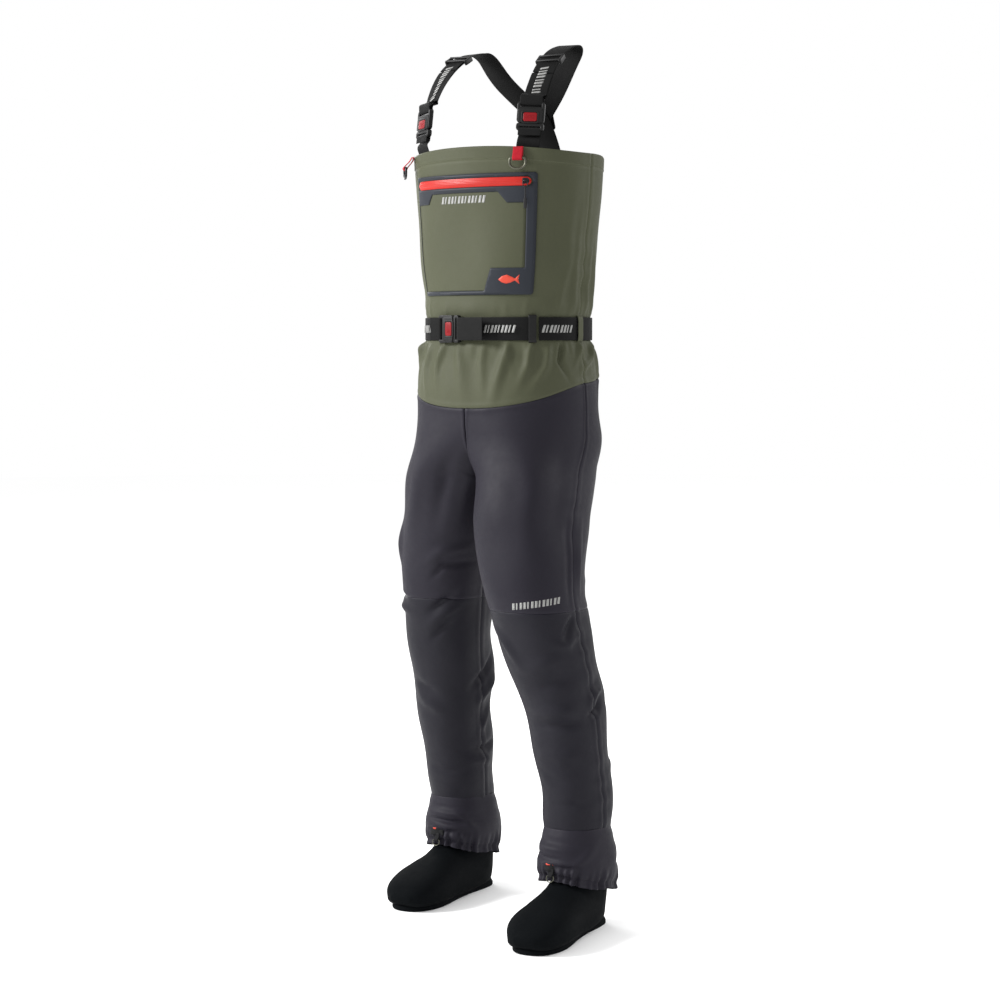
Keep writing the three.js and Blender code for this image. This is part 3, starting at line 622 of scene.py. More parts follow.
def coated(name, colour):
    """Rubbery water-tight coating with a soft gloss, a little scuffed."""
    gloss = {"coat_weight": 0.08, "coat_roughness": 0.25}
    finish = Finish(name, colour, roughness=0.38, specular_ior_level=0.2, **gloss)
    scuff, pebble = finish.noise(12, 5, 0.6), finish.noise(0.8, 2)
    finish.feed("Base Color", finish.shade(0.85 + scuff * 0.22 + pebble * 0.06))
    finish.feed("Roughness", 0.28 + scuff * 0.22)
    finish.bump(pebble * 0.3 + scuff * 0.4, 0.15, 0.5)
    return finish.material


def film(name, colour):
    """Welded trim film with a fine pebble."""
    finish = Finish(name, colour, roughness=0.5, specular_ior_level=0.15)
    scuff, pebble = finish.noise(20, 4), finish.noise(0.7, 2)
    finish.feed("Base Color", finish.shade(0.86 + scuff * 0.2 + pebble * 0.08))
    finish.feed("Roughness", 0.42 + scuff * 0.18)
    finish.bump(pebble, 0.1, 0.5)
    return finish.material


def printed(name, colour):
    """Ink laid over cloth, worn thin here and there."""
    finish = Finish(name, colour, roughness=0.55)
    wear, grain = finish.noise(3, 4, 0.7), finish.noise(0.6, 2)
    finish.feed("Base Color", finish.shade(0.7 + wear * 0.45 + grain * 0.1))
    finish.bump(grain, 0.1, 0.5)
    return finish.material


OLIVE = laminate("olive laminate", tone(63, 65, 49))
CHARCOAL = laminate("charcoal laminate", tone(27, 25, 33))
SHIN = laminate("charcoal reinforced laminate", tone(22, 21, 28), 1.3)
INSIDE = lining("backing", tone(62, 64, 66))
NEOPRENE = foam("neoprene", tone(7, 9, 11))
BLACK_WEB = woven_strap("black webbing", tone(15, 15, 15))
PLAIN_WEB = woven_strap("shoulder elastic", tone(14, 14, 14), 2.2)
RED_WEB = woven_strap("red tab webbing", tone(150, 22, 34), 1.2)
PLASTIC = moulded("black buckle plastic", tone(14, 14, 14))
RED_PLASTIC = moulded("red button plastic", tone(112, 4, 12), 0.36)
RUBBER = moulded("black pull rubber", tone(26, 26, 27), 0.55)
METAL = plated("dull plated wire", tone(84, 84, 74))
DARK_METAL = plated("black plated wire", tone(48, 48, 50))
ZIP_RED = coated("red zip coating", tone(158, 24, 13))
SLATE = film("slate trim film", tone(33, 36, 42))
PALE_INK = printed("pale ink", tone(128, 128, 126))
ORANGE_INK = printed("orange ink", tone(178, 44, 14))
LABEL = woven_strap("label cloth", tone(22, 22, 23), 0.8)
THREAD = moulded("olive thread", tone(88, 90, 72), 0.7)
DARK_THREAD = moulded("black thread", tone(44, 44, 46), 0.7)


# ---------------------------------------------------------------- studio
def make_camera():
    """Turned to the wearer's left, at chest height, and looking a little down."""
    azimuth, distance, height = math.radians(37), 4150, 1040
    right = np.array([math.cos(azimuth), math.sin(azimuth), 0])
    eye = np.array([math.sin(azimuth) * distance, -math.cos(azimuth) * distance, height])
    aim = right * -14.5 + [0, 0, 755]
    data = bpy.data.cameras.new("camera")
    data.sensor_width, data.lens = 36, 83.66
    data.clip_end = 60
    camera = bpy.data.objects.new("camera", data)
    bpy.context.scene.collection.objects.link(camera)
    camera.location = (eye - SHOULDERS) * MM
    camera.rotation_euler = Vector(aim - eye).to_track_quat("-Z", "Y").to_euler()
    bpy.context.scene.camera = camera


def make_studio():
    floor_height = -SHOULDERS[2] * MM
    mesh = bpy.data.meshes.new("floor")
    rim = [(14 * math.cos(t), 14 * math.sin(t), floor_height) for t in np.linspace(0, 2 * math.pi, 64, False)]
    mesh.from_pydata(rim, [], [list(range(64))])
    paper = Finish("pale floor paper", (0.99, 0.99, 0.99), roughness=1.0, specular_ior_level=0.0)
    paper.feed("Base Color", paper.shade(0.99 + paper.noise(400) * 0.01))
    mesh.materials.append(paper.material)
    floor = bpy.data.objects.new("floor", mesh)
    bpy.context.scene.collection.objects.link(floor)
    world = bpy.data.worlds.new("studio")
    world.use_nodes = True
    world.node_tree.nodes["Background"].inputs[0].default_value = (1, 1, 1, 1)
    world.node_tree.nodes["Background"].inputs[1].default_value = 1.0
    bpy.context.scene.world = world
    bpy.context.scene.view_settings.view_transform = "Standard"
    aim = Vector((0, 0, -0.7))
    for name, spot, size, power in (
        ("key", (-2.9, -2.9, 1.3), 1.3, 330),
        ("edge", (-3.0, 1.6, 0.8), 1.6, 50),
        ("rim", (2.2, 2.8, 0.9), 1.0, 50),
    ):
        light = bpy.data.lights.new(name, "AREA")
        light.size, light.energy = size, power
        lamp = bpy.data.objects.new(name, light)
        bpy.context.scene.collection.objects.link(lamp)
        lamp.location = spot
        lamp.rotation_euler = (aim - Vector(spot)).to_track_quat("-Z", "Y").to_euler()


# ---------------------------------------------------------------- folds
def ripple(points, size, depth, seed):
    """Gentle unevenness of cloth, the same at the same place whichever piece is asked."""
    draw = np.random.RandomState(seed)
    total = 0
    for _ in range(9):
        way = draw.normal(size=3)
        way /= np.linalg.norm(way)
        waves = way * 2 * math.pi / (size * draw.uniform(0.7, 1.6))
        total = total + np.sin(points @ waves + draw.uniform(0, 6.3))
    return total * depth / 3


def stroke(turn, height, line, width, depth, mm_per_degree, lead=0.5, hollow=0.7):
    """One fold along a line of (degrees round, height): raised in the middle and hollow on both sides, or the
    other way round where depth is negative. lead is where along the line it is deepest."""
    line = np.asarray(line, float)
    best, share = np.full(np.shape(turn), 1e9), np.zeros(np.shape(turn))
    count = len(line) - 1
    for k, (a, b) in enumerate(zip(line[:-1], line[1:])):
        x = ((turn - a[0] + 180) % 360 - 180) * mm_per_degree
        y = height - a[1]
        run = np.array([(b[0] - a[0]) * mm_per_degree, b[1] - a[1]])
        t = np.clip((x * run[0] + y * run[1]) / (run @ run), 0, 1)
        square = (x - t * run[0]) ** 2 + (y - t * run[1]) ** 2
        near = square < best
        best, share = np.where(near, square, best), np.where(near, (k + t) / count, share)
    taper = np.where(share < lead, step_up(share, -0.25 * lead, lead), step_up(1 - share, -0.1, 1 - lead))
    d = best / width**2
    return depth * taper * (1 - hollow * d) * np.exp(-d)


# Under the belt: (line of degrees round and height, width, depth).
WAIST_FOLDS = [
    ([(-62, 1042), (-69, 985), (-75, 918)], 11, 5.5), ([(-97, 1040), (-93, 985), (-90, 925)], 9, 4.5),
    ([(-108, 1040), (-113, 995), (-111, 950)], 8, 5), ([(-80, 1042), (-82, 1000), (-79, 930)], 7, 3.5),
    ([(-125, 1042), (-128, 990), (-122, 930)], 10, 4.5), ([(-44, 1042), (-49, 1000), (-58, 950)], 9, 4),
    ([(-17, 1044), (-23, 1004), (-14, 968)], 7, -5.5), ([(20, 1045), (11, 1010), (-8, 978)], 9, 6.5),
    ([(-30, 1042), (-35, 995), (-48, 948)], 10, 4), ([(2, 1043), (-4, 1012), (-10, 990)], 7, 3.5),
    ([(62, 1042), (58, 1000), (68, 960)], 9, 4.5), ([(84, 1043), (88, 1005), (86, 985)], 8, 4),
    ([(103, 1042), (98, 1004), (105, 984)], 10, 5), ([(124, 1043), (130, 1000), (122, 975)], 9, 4.5),
    ([(147, 1042), (143, 1000), (152, 965)], 9, -4.5), ([(168, 1042), (172, 1000), (166, 962)], 8, 5),
    ([(38, 1042), (33, 990), (26, 930)], 10, 5), ([(-148, 1042), (-152, 1000), (-165, 955)], 9, 5),
]
# Over the belt and up the sides.
CHEST_FOLDS = [
    ([(-6, 1082), (-9, 1160), (-5, 1290)], 10, 3.0), ([(7, 1082), (5, 1140), (8, 1240)], 9, 3.5),
    ([(-24, 1080), (-21, 1130), (-12, 1200)], 11, 2.6), ([(-172, 1082), (-171, 1160), (-174, 1280)], 10, 3.2),
    ([(-158, 1080), (-162, 1130), (-168, 1190)], 10, 2.6), ([(22, 1082), (17, 1150), (12, 1230)], 12, 3.0),
    ([(-16, 1150), (-17, 1230), (-14, 1320)], 16, 1.8), ([(176, 1090), (172, 1170), (170, 1300)], 14, 3),
]
LEG_FOLDS = {
    "left": [
        ([(-7, 730), (-5, 660), (-8, 585)], 7, -2.4), ([(9, 740), (7, 660), (10, 590)], 9, 3.2),
        ([(-28, 526), (-14, 550), (-1, 574)], 9, -3.4), ([(-46, 520), (-22, 520), (6, 548)], 12, 2.8),
        ([(-116, 372), (-55, 378), (-18, 383)], 8, -4.6), ([(-108, 396), (-52, 402), (-22, 404)], 13, 3.2),
        ([(16, 418), (4, 398), (-20, 380)], 7, -5.0), ([(30, 442), (8, 430), (-12, 408)], 10, 4.0),
        ([(-92, 436), (-55, 456), (-20, 468)], 14, -3.0), ([(-100, 470), (-60, 488), (-26, 500)], 16, 2.6),
        ([(-112, 330), (-70, 318), (-30, 322)], 16, 2.6), ([(-100, 236), (-60, 232), (-20, 238)], 9, -1.8),
        ([(-120, 300), (-84, 276), (-50, 270)], 12, -1.8), ([(-140, 560), (-110, 520), (-92, 470)], 12, 3),
        ([(-60, 880), (-52, 780), (-56, 660)], 26, 3.0), ([(-24, 900), (-20, 800), (-22, 690)], 22, -2.4),
        ([(120, 600), (80, 588), (40, 596)], 10, -4), ([(130, 628), (85, 616), (40, 622)], 14, 4),
        ([(125, 556), (85, 548), (45, 560)], 13, 3.6), ([(110, 420), (70, 400), (35, 408)], 12, -3.6),
        ([(100, 330), (70, 300), (30, 290)], 13, 3), ([(60, 860), (66, 780), (58, 700)], 20, 3.4),
    ],
    "right": [
        ([(-106, 610), (-121, 637), (-168, 644)], 8, -3.4), ([(-96, 640), (-118, 664), (-160, 672)], 13, 3.0),
        ([(-100, 548), (-124, 572), (-146, 592)], 9, -3.6), ([(-96, 522), (-124, 548), (-150, 566)], 11, 3.0),
        ([(-100, 494), (-122, 520), (-146, 540)], 9, -3.0), ([(-40, 720), (-42, 672), (-46, 630)], 14, 4.0),
        ([(-22, 586), (-46, 577), (-72, 572)], 7, -4.4), ([(-24, 562), (-50, 556), (-80, 548)], 11, 3.2),
        ([(-214, 466), (-186, 430), (-158, 398)], 9, -5.0),
        ([(-214, 430), (-196, 404), (-170, 368)], 12, 4.6),
        ([(-212, 372), (-190, 340), (-176, 312)], 10, 3.6),
        ([(-214, 296), (-186, 282), (-152, 284)], 8, -4.6),
        ([(-60, 420), (-86, 402), (-112, 384)], 11, -2.6), ([(-60, 396), (-90, 374), (-122, 352)], 14, 2.6),
        ([(-208, 252), (-180, 262), (-140, 262)], 12, 3.0), ([(-70, 250), (-110, 242), (-150, 240)], 9, -1.8),
        ([(-100, 880), (-112, 790), (-104, 690)], 18, -3.6), ([(-82, 880), (-80, 780), (-70, 680)], 22, 3.0),
        ([(-128, 870), (-140, 800), (-134, 700)], 16, 3.0), ([(60, 860), (66, 780), (58, 700)], 20, 3.4),
        ([(120, 600), (80, 590), (40, 598)], 10, -4), ([(130, 628), (85, 616), (40, 624)], 14, 4),
        ([(125, 556), (85, 548), (45, 560)], 13, 3.6), ([(110, 420), (70, 404), (35, 410)], 12, -3.6),
        ([(100, 330), (70, 300), (30, 292)], 13, 3),
    ],
}


def random_gathers():
    """Smaller gathers all round the belt, and the larger ones at the back."""
    draw = np.random.RandomState(5)
    gathers = []

    def gather(turn, start, lengths, drifts, widths, depths):
        length, drift = draw.uniform(*lengths), draw.uniform(-drifts, drifts)
        line = [(turn, start), (turn + drift, start + math.copysign(length, start - BELT_HEIGHT))]
        gathers.append((line, draw.uniform(*widths), draw.uniform(*depths)))

    for k in range(34):
        turn = -180 + 360 * (k + draw.uniform(-0.3, 0.3)) / 34
        behind = 40 < turn < 200 or turn < -150
        gather(turn, 1044, (26, 70), 4, (5, 8), (1.2, 2.6))
        gather(turn, 1077, (20, 52), 3, (5, 8), (0.8, 1.9))
        if behind and k % 2:
            gather(turn, 1042, (80, 130), 9, (9, 13), (3, 5.5))
    return gathers


GATHERS = random_gathers()
BODY_MM_PER_DEGREE = 2.5
LEG_MM_PER_DEGREE = 1.45


def body_folds(turn, height, points):
    """How far the cloth stands out round the body, by degrees round and height."""
    total = np.zeros(np.shape(turn))
    for line, width, depth in WAIST_FOLDS + CHEST_FOLDS:
        total += stroke(turn, height, line, width, 1.35 * depth, BODY_MM_PER_DEGREE, lead=0.3)
    for line, width, depth in GATHERS:
        total += stroke(turn, height, line, width, depth, BODY_MM_PER_DEGREE, lead=0.2)
    off_belt = np.abs(height - BELT_HEIGHT)
    under_belt = 1 - step_up(off_belt, 17, 30)
    billow = 3.6 * np.exp(-(((off_belt - 36) / 17) ** 2))
    pinch = 2.6 * np.exp(-((off_belt / 22) ** 2))
    total = total * (1 - 0.8 * under_belt) + billow + pinch
    return total + ripple(points, 150, 1.5, 3) * step_up(off_belt, 20, 90)


def leg_folds(side, turn, height, points):
    total = np.zeros(np.shape(turn))
    for line, width, depth in LEG_FOLDS[side]:
        total += stroke(turn, height, line, 0.9 * width, 1.75 * depth, LEG_MM_PER_DEGREE, hollow=0.6)
    fade = 1 - step_up(height, 800, 920)
    calm = step_up(height, SOCK_SEAM, 220)
    return (total + ripple(points, 120, 2.0, 8)) * fade * calm


def welt(distance, raised=0.7):
    """The cross section of a taped seam: a groove with a slightly raised band on both sides."""
    return raised * np.exp(-(((distance - 5) / 4) ** 2)) - 0.9 * np.exp(-((distance / 1.6) ** 2))


# ---------------------------------------------------------------- the body surface
def bib_point(turn, height, out=0.0):
    turn, height = np.broadcast_arrays(turn, height)
    width, depth, centre = between(TORSO, height)
    x, y = (width + out) * bulge(np.cos(turn)), centre + (depth + out) * bulge(np.sin(turn))
    return np.stack([x, y, height + 0.0 * x], -1)


def outward(point_at, turn, height, flip=1):
    """The direction away from the body of a surface given by point_at(turn, height)."""
    round_it = point_at(turn + 2e-3, height) - point_at(turn - 2e-3, height)
    up_it = point_at(turn, height + 1.0) - point_at(turn, height - 1.0)
    return unit(np.cross(round_it, up_it)) * flip


def bib_surface(turn, height, out=0.0):
    """A point of the bib with its folds and seams, and how near it is to a seam."""
    turn, height = np.broadcast_arrays(np.asarray(turn, float), np.asarray(height, float))
    flat = bib_point(turn, height)
    degrees = np.degrees(turn)
    stand = body_folds(degrees, height, flat)
    to_side = np.abs((degrees + 90) % 180 - 90) * BODY_MM_PER_DEGREE
    pucker = 1.5 * np.sin(height / 9.5 + 2 * np.sin(height / 37)) * np.exp(-((to_side / 20) ** 2))
    pucker *= 1 - step_up(height, 1150, 1330)
    hem, waist = height_round(HEM, turn) - height, height - height_round(WAIST_SEAM, turn)
    facing = 0.7 * (1 - step_up(hem, 21, 25)) - 0.8 * np.exp(-(((hem - 23) / 1.6) ** 2))
    pucker *= step_up(np.abs(height - BELT_HEIGHT), 22, 40)
    stand = stand + pucker + welt(to_side) + welt(waist) + facing
    stand = stand - 1.2 * np.exp(-(np.maximum(hem, 0) / 1.2) ** 2)
    near = np.exp(-((np.minimum(to_side, np.minimum(np.abs(hem - 23), waist)) / 3.5) ** 2))
    normal = outward(bib_point, turn, height)
    return flat + normal * (stand + np.asarray(out))[..., None], near


def leg_point(side, face, share, height, out=0.0):
    share, height = np.broadcast_arrays(share, height)
    outward_x, centre, width, depth = between(LEGS[side], height)
    reach = np.clip(-(outward_x - GAP) / width, -1, 0)
    end = np.arccos(-(np.abs(reach) ** (ROUNDNESS / 2)))
    angle = mix(0.0, end, share)
    x = np.maximum(0.0, outward_x + (width + out) * bulge(np.cos(angle)))
    y = centre + face * (depth + out) * bulge(np.sin(angle))
    return np.stack([SIGN[side] * x, y, height + 0.0 * x], -1), face * np.degrees(angle)


def leg_surface(side, face, share, height):
    share, height = np.broadcast_arrays(np.asarray(share, float), np.asarray(height, float))
    flat, turn = leg_point(side, face, share, height)
    body_turn = np.degrees(np.arctan2(flat[..., 1] / 126, flat[..., 0] / 170))
    low = 1 - step_up(height, 770, 900)
    stand = body_folds(body_turn, height, flat) * (1 - low) + leg_folds(side, turn, height, flat)
    _, _, width, depth = between(LEGS[side], height)
    girth = 1.5 * (width + depth)
    to_seam = np.minimum(share, 1 - share) * girth
    body_seam = height_round(WAIST_SEAM, np.radians(body_turn)) - height
    near_knee, near_waist = np.abs(height - KNEE_SEAM), np.where(height > 850, np.abs(body_seam), 99)
    stand = stand + welt(to_seam, 0.9) + welt(near_knee, 0.5) * 0.6 + welt(near_waist)
    pucker = 1.1 * np.sin(height / 8.5 + 3 * np.sin(height / 41)) * np.exp(-((share * girth / 15) ** 2))
    stand = stand + pucker * (1 - step_up(height, 700, 860))
    flip = SIGN[side] * face
    normal = outward(lambda s, z: leg_point(side, face, s, z)[0], share, height, flip)
    made = flat + normal * stand[..., None]
    made[..., 0] = SIGN[side] * np.maximum(made[..., 0] * SIGN[side], 0.15)
    near = np.exp(-((np.minimum(to_seam, np.minimum(near_knee, near_waist)) / 3.5) ** 2))
    return made, near


# ---------------------------------------------------------------- bib and legs
def cloth_panel(name, points, seam, finish, inside, flip=False):
    rows, columns = points.shape[:2]
    across = np.concatenate([[0], np.cumsum(np.linalg.norm(np.diff(points[rows // 2], axis=0), axis=1))])
    uv = np.stack(np.broadcast_arrays(across[None], points[..., 2]), -1).reshape(-1, 2)
    faces = grid_faces(rows, columns, flip=flip)
    piece = make(name, points.reshape(-1, 3), faces, finish, uv=uv, seam=seam.ravel())
    return thicken(piece, LAMINATE, inside)


def make_bib():
    for face, start in (("front", -math.pi), ("back", 0.0)):
        turn = start + math.pi * crowded(190)[None]
        low, high = height_round(WAIST_SEAM, turn), height_round(HEM, turn)
        height = mix(low, high, crowded(130, 0.85)[:, None])
        points, seam = bib_surface(turn, height)
        settle(cloth_panel(f"bib_{face}", points, seam, OLIVE, INSIDE), "bib_fabric", f"bib_{face}_panel")
    turn = np.linspace(-math.pi, math.pi, 500)
    row, _ = bib_surface(turn, height_round(HEM, turn) - 21.0, 0.15)
    settle(stitches("hem_stitching", [row], THREAD), "bib_fabric")


def make_leg(side):
    for face, sign in (("front", -1), ("back", 1)):
        share = crowded(76)[None]
        top = height_round(WAIST_SEAM, sign * share * math.pi / 2)
        lower_name = "shin_front" if face == "front" else "calf_back"
        bands = [
            (f"thigh_{face}", KNEE_SEAM, top, CHARCOAL, "leg_fabric"),
            (lower_name, SOCK_SEAM, KNEE_SEAM, SHIN, "shin_fabric"),
        ]
        for part, low, high, finish, slot in bands:
            height = mix(low, high, crowded(100, 0.6)[:, None])
            points, seam = leg_surface(side, sign, share, height)
            flip = SIGN[side] * sign < 0
            piece = cloth_panel(f"{side}_{part}", points, seam, finish, INSIDE, flip)
            settle(piece, slot, f"{side}_{part}_panel")


# ---------------------------------------------------------------- socks
def foot_point(side, forward, out, up):
    (heel_x, heel_y), toe_out = FEET[side]
    angle = math.radians(toe_out)
    x = heel_x + out * math.cos(angle) + forward * math.sin(angle)
    y = heel_y + out * math.sin(angle) - forward * math.cos(angle)
    return np.stack(np.broadcast_arrays(SIGN[side] * x, y, up), -1)


def foot_sections(count):
    """The foot's sections, filled in smoothly between the ones of the table."""
    table = np.array(FOOT, float)
    places = np.linspace(0, len(table) - 1, count)
    k = np.clip(places.astype(int), 0, len(table) - 2)
    t = (places - k)[:, None]
    slope = np.gradient(table, axis=0)
    smooth = 3 * t**2 - 2 * t**3
    rows = table[k] * (1 - smooth) + table[k + 1] * smooth
    rows += (t**3 - 2 * t**2 + t) * slope[k] + (t**3 - t**2) * slope[k + 1]
    return rows, places / (len(table) - 1)


def sock_rings(side, rows, turn):
    near_forward, near_up, far_forward, far_up, half = (rows[:, k, None] for k in range(5))
    cf, cu = (near_forward + far_forward) / 2, (near_up + far_up) / 2
    df, du = (near_forward - far_forward) / 2, (near_up - far_up) / 2
    tread = step_up(far_forward, 0, 90) * (np.cos(turn) < 0)[None]
    squareness = mix(2.4, 4.6, tread)
    c, s = bulge(np.cos(turn)[None], squareness), bulge(np.sin(turn)[None], squareness)
    return foot_point(side, cf + df * c, half * s, np.maximum(cu + du * c, SOLE + 0.2))


# (line of degrees round and hundredths of the way from ankle to toe, width, depth)
SOCK_CREASES = [
    ([(-70, 31), (-20, 36), (40, 33)], 3.5, -1.8), ([(-80, 24), (-30, 27), (60, 25)], 4, 1.8),
    ([(70, 40), (110, 36), (150, 34)], 4, -1.6), ([(-150, 36), (-110, 38), (-70, 42)], 4, -1.4),
    ([(-50, 58), (0, 61), (50, 58)], 5, 0.9), ([(-60, 50), (0, 52), (60, 50)], 4, -0.9),
]


def make_sock(side):
    rows, share = foot_sections(90)
    turn = np.linspace(0, 2 * math.pi, 80, endpoint=False)
    points = sock_rings(side, rows, turn)
    step = np.roll(points, -1, 1) - np.roll(points, 1, 1)
    normal = unit(np.cross(step, np.gradient(points, axis=0)))
    middle = points.mean(axis=1, keepdims=True)
    normal *= np.sign(np.sum(normal * (points - middle), -1, keepdims=True))
    degrees = np.degrees(turn)[None] + 0 * share[:, None]
    degrees = (degrees + 180) % 360 - 180
    along = share[:, None] * 100 + 0 * degrees
    stand = ripple(points, 70, 0.8, 21)
    for line, width, depth in SOCK_CREASES:
        stand = stand + stroke(degrees, along, line, width, depth, 0.25)
    seam = np.exp(-(((np.abs(degrees) - 106) * 0.8 / 2.2) ** 2)) * step_up(along, 20, 36)
    flat_end = 1 - step_up(along, 96, 100)
    free = step_up(points[..., 2], SOLE + 1, SOLE + 10)
    points = points + normal * ((stand + 0.9 * seam) * flat_end * free)[..., None]
    faces = grid_faces(len(rows), len(turn), wrap=True)
    faces.append(list(range((len(rows) - 1) * len(turn), len(rows) * len(turn))))
    uv = np.stack([degrees * 0.8, along * 3], -1).reshape(-1, 2)
    sock = make(f"{side}_neoprene_sock", points.reshape(-1, 3), faces, NEOPRENE, uv=uv, sharp=60)
    under = (27.5 - SHOULDERS[2]) * MM
    if np.mean([p.normal.z for p in sock.data.polygons if p.center.z < under]) > 0:
        sock.data.flip_normals()
    thicken(sock, 4.2, INSIDE)
    settle(sock, "neoprene", f"{side}_sock")


def make_sole(side):
    table = np.array(SOLE_WIDTHS, float)
    edge = [(f, w) for f, w in table] + [(f, -w) for f, w in table[::-1]]
    outline = curve_through([(f, w, 0) for f, w in edge], closed=True, steps=6)[:-1, :2]
    rounding = [  # height, and how far in from the outline
        (0.0, 5.4), (0.6, 3.4), (2.0, 2.2), (SOLE - 1.4, 1.8),
        (SOLE + 1.5, 2.0), (SOLE + 5, 3.8), (SOLE + 9, 7.0), (SOLE + 13, 11.5),
    ]
    away = unit(outline - outline.mean(0))
    rings = []
    for up, inset in rounding:
        ring = outline - away * inset
        rings.append(foot_point(side, ring[:, 0], ring[:, 1], up))
    count = len(outline)
    faces = grid_faces(len(rings), count, wrap=True)
    faces += [list(range(count)), list(range((len(rings) - 1) * count, len(rings) * count))]
    sole = face_out(make(f"{side}_neoprene_sole", np.concatenate(rings), faces, NEOPRENE))
    sole.data.set_sharp_from_angle(angle=math.radians(50))
    settle(sole, "neoprene", f"{side}_sock_sole")


# ---------------------------------------------------------------- gravel guards
def guard_point(side, u, v, out=0.0):
    turn = 2 * math.pi * u
    c, s = np.cos(turn), np.sin(turn)
    middle = (GUARD_FRONT + GUARD_BACK) / 2
    low = middle + (np.where(s < 0, GUARD_FRONT, GUARD_BACK) - middle) * np.abs(s) ** 1.5
    height = mix(GUARD_TOP, low, v)
    out_x, centre, width, depth = between(LEGS[side], height)
    hem = foot_point(side, GUARD_HEM["forward"], 0, 0)
    ease = v**1.5
    swell = 4 + 2 * np.sin(math.pi * v) + out
    half_width, half_depth = mix(width, GUARD_HEM["width"], ease), mix(depth, GUARD_HEM["depth"], ease)
    x = mix(out_x, SIGN[side] * hem[..., 0], ease) + (half_width + swell) * bulge(c, 2.2)
    y = mix(centre, hem[..., 1], ease) + (half_depth + swell) * bulge(s, 2.2)
    return np.stack([SIGN[side] * x, y, height], -1)


GUARD_FOLDS = {
    "left": [
        ([(-150, 46), (-110, 56), (-60, 58)], 7, -3.6), ([(-150, 30), (-100, 36), (-50, 40)], 9, 3.2),
        ([(-40, 66), (-70, 72), (-100, 70)], 7, -3.0), ([(-20, 20), (-40, 50), (-60, 74)], 8, 3.0),
        ([(20, 60), (60, 50), (100, 60)], 8, -3.4), ([(30, 36), (90, 32), (140, 40)], 9, 3.2),
    ],
    "right": [
        ([(-60, 44), (-110, 50), (-170, 42)], 6, -4.0), ([(-60, 30), (-110, 32), (-160, 26)], 9, 3.6),
        ([(-50, 66), (-100, 72), (-150, 64)], 7, -3.4), ([(-110, 20), (-140, 46), (-165, 74)], 8, 2.6),
        ([(20, 60), (60, 50), (100, 60)], 8, -3.4), ([(30, 36), (90, 32), (140, 40)], 9, 3.2),
    ],
}


def guard_surface(side, u, v, out=0.0):
    """The cuff: sewn flat to the leg, puffed below and gathered into small pleats at its elastic hem."""
    u, v = np.broadcast_arrays(np.asarray(u, float), np.asarray(v, float))
    degrees = (360 * u + 180) % 360 - 180
    sewn = -2.6 * (1 - step_up(v, 0.0, 0.16)) - 0.5 * np.exp(-((v / 0.02) ** 2))
    puff = 5.0 * np.sin(math.pi * np.clip(v, 0, 1) ** 1.3) ** 1.5
    draw = np.random.RandomState(31 if side == "left" else 32)
    pleats = 0
    for count in (19, 27, 34):
        strength = draw.uniform(0.7, 1.2)
        pleats = pleats + strength * np.sin(2 * math.pi * (count * u + draw.uniform()) + 2.2 * v)
    gathered = step_up(v, 0.58, 0.95)
    drawn_in = -3.2 * np.exp(-(((v - 0.9) / 0.06) ** 2))
    stand = sewn + puff + gathered * (1.5 * pleats + drawn_in)
    for line, width, depth in GUARD_FOLDS[side]:
        stand = stand + stroke(degrees, v * 100, line, width, depth * 1.3, 0.7)
    flat = guard_point(side, u, v)
    stand = stand + ripple(flat, 60, 0.9, 14)
    middle = np.stack([flat[..., 0].mean() + 0 * u, flat[..., 1].mean() + 0 * u, flat[..., 2]], -1)
    normal = unit((flat - middle) * [1, 1, 0])
    seam = np.exp(-((v / 0.04) ** 2)) + np.exp(-(((v - 0.84) / 0.02) ** 2)) * 0.6
    return flat + normal * (stand + out)[..., None], seam


def make_guard(side):
    columns, rows = 260, 60
    u = np.linspace(0, 1, columns, endpoint=False)[None]
    v = np.linspace(0, 1, rows)[:, None]
    points, seam = guard_surface(side, u, v)
    halfway = points[rows // 2]
    run = np.cumsum(np.linalg.norm(np.diff(halfway, axis=0, prepend=halfway[:1]), axis=1))
    uv = np.stack(np.broadcast_arrays(run[None], points[..., 2]), -1).reshape(-1, 2)
    flip = side == "left"
    faces = grid_faces(rows, columns, True, flip)
    cuff = make(f"{side}_guard_cuff", points.reshape(-1, 3), faces, CHARCOAL, uv=uv, seam=seam.ravel())
    thicken(cuff, 1.1, INSIDE)
    settle(cuff, "leg_fabric", f"{side}_gravel_guard")
    band_v = np.linspace(0.86, 0.985, 6)[:, None]
    inner, _ = guard_surface(side, u, band_v, -2.2)
    uv = np.stack(np.broadcast_arrays(run[None], inner[..., 2]), -1).reshape(-1, 2)
    faces = grid_faces(len(band_v), columns, True, flip)
    band = make(f"{side}_cuff_elastic", inner.reshape(-1, 3), faces, BLACK_WEB, uv=uv)
    thicken(band, 1.0)
    settle(band, "elastic", f"{side}_guard_elastic")
    line, _ = guard_surface(side, np.linspace(0, 1, 400), np.full(400, 0.84), 0.1)
    settle(stitches(f"{side}_cuff_stitching", [line], DARK_THREAD, 3.2, 2.2, 0.28), "leg_fabric")
    make_label(side)


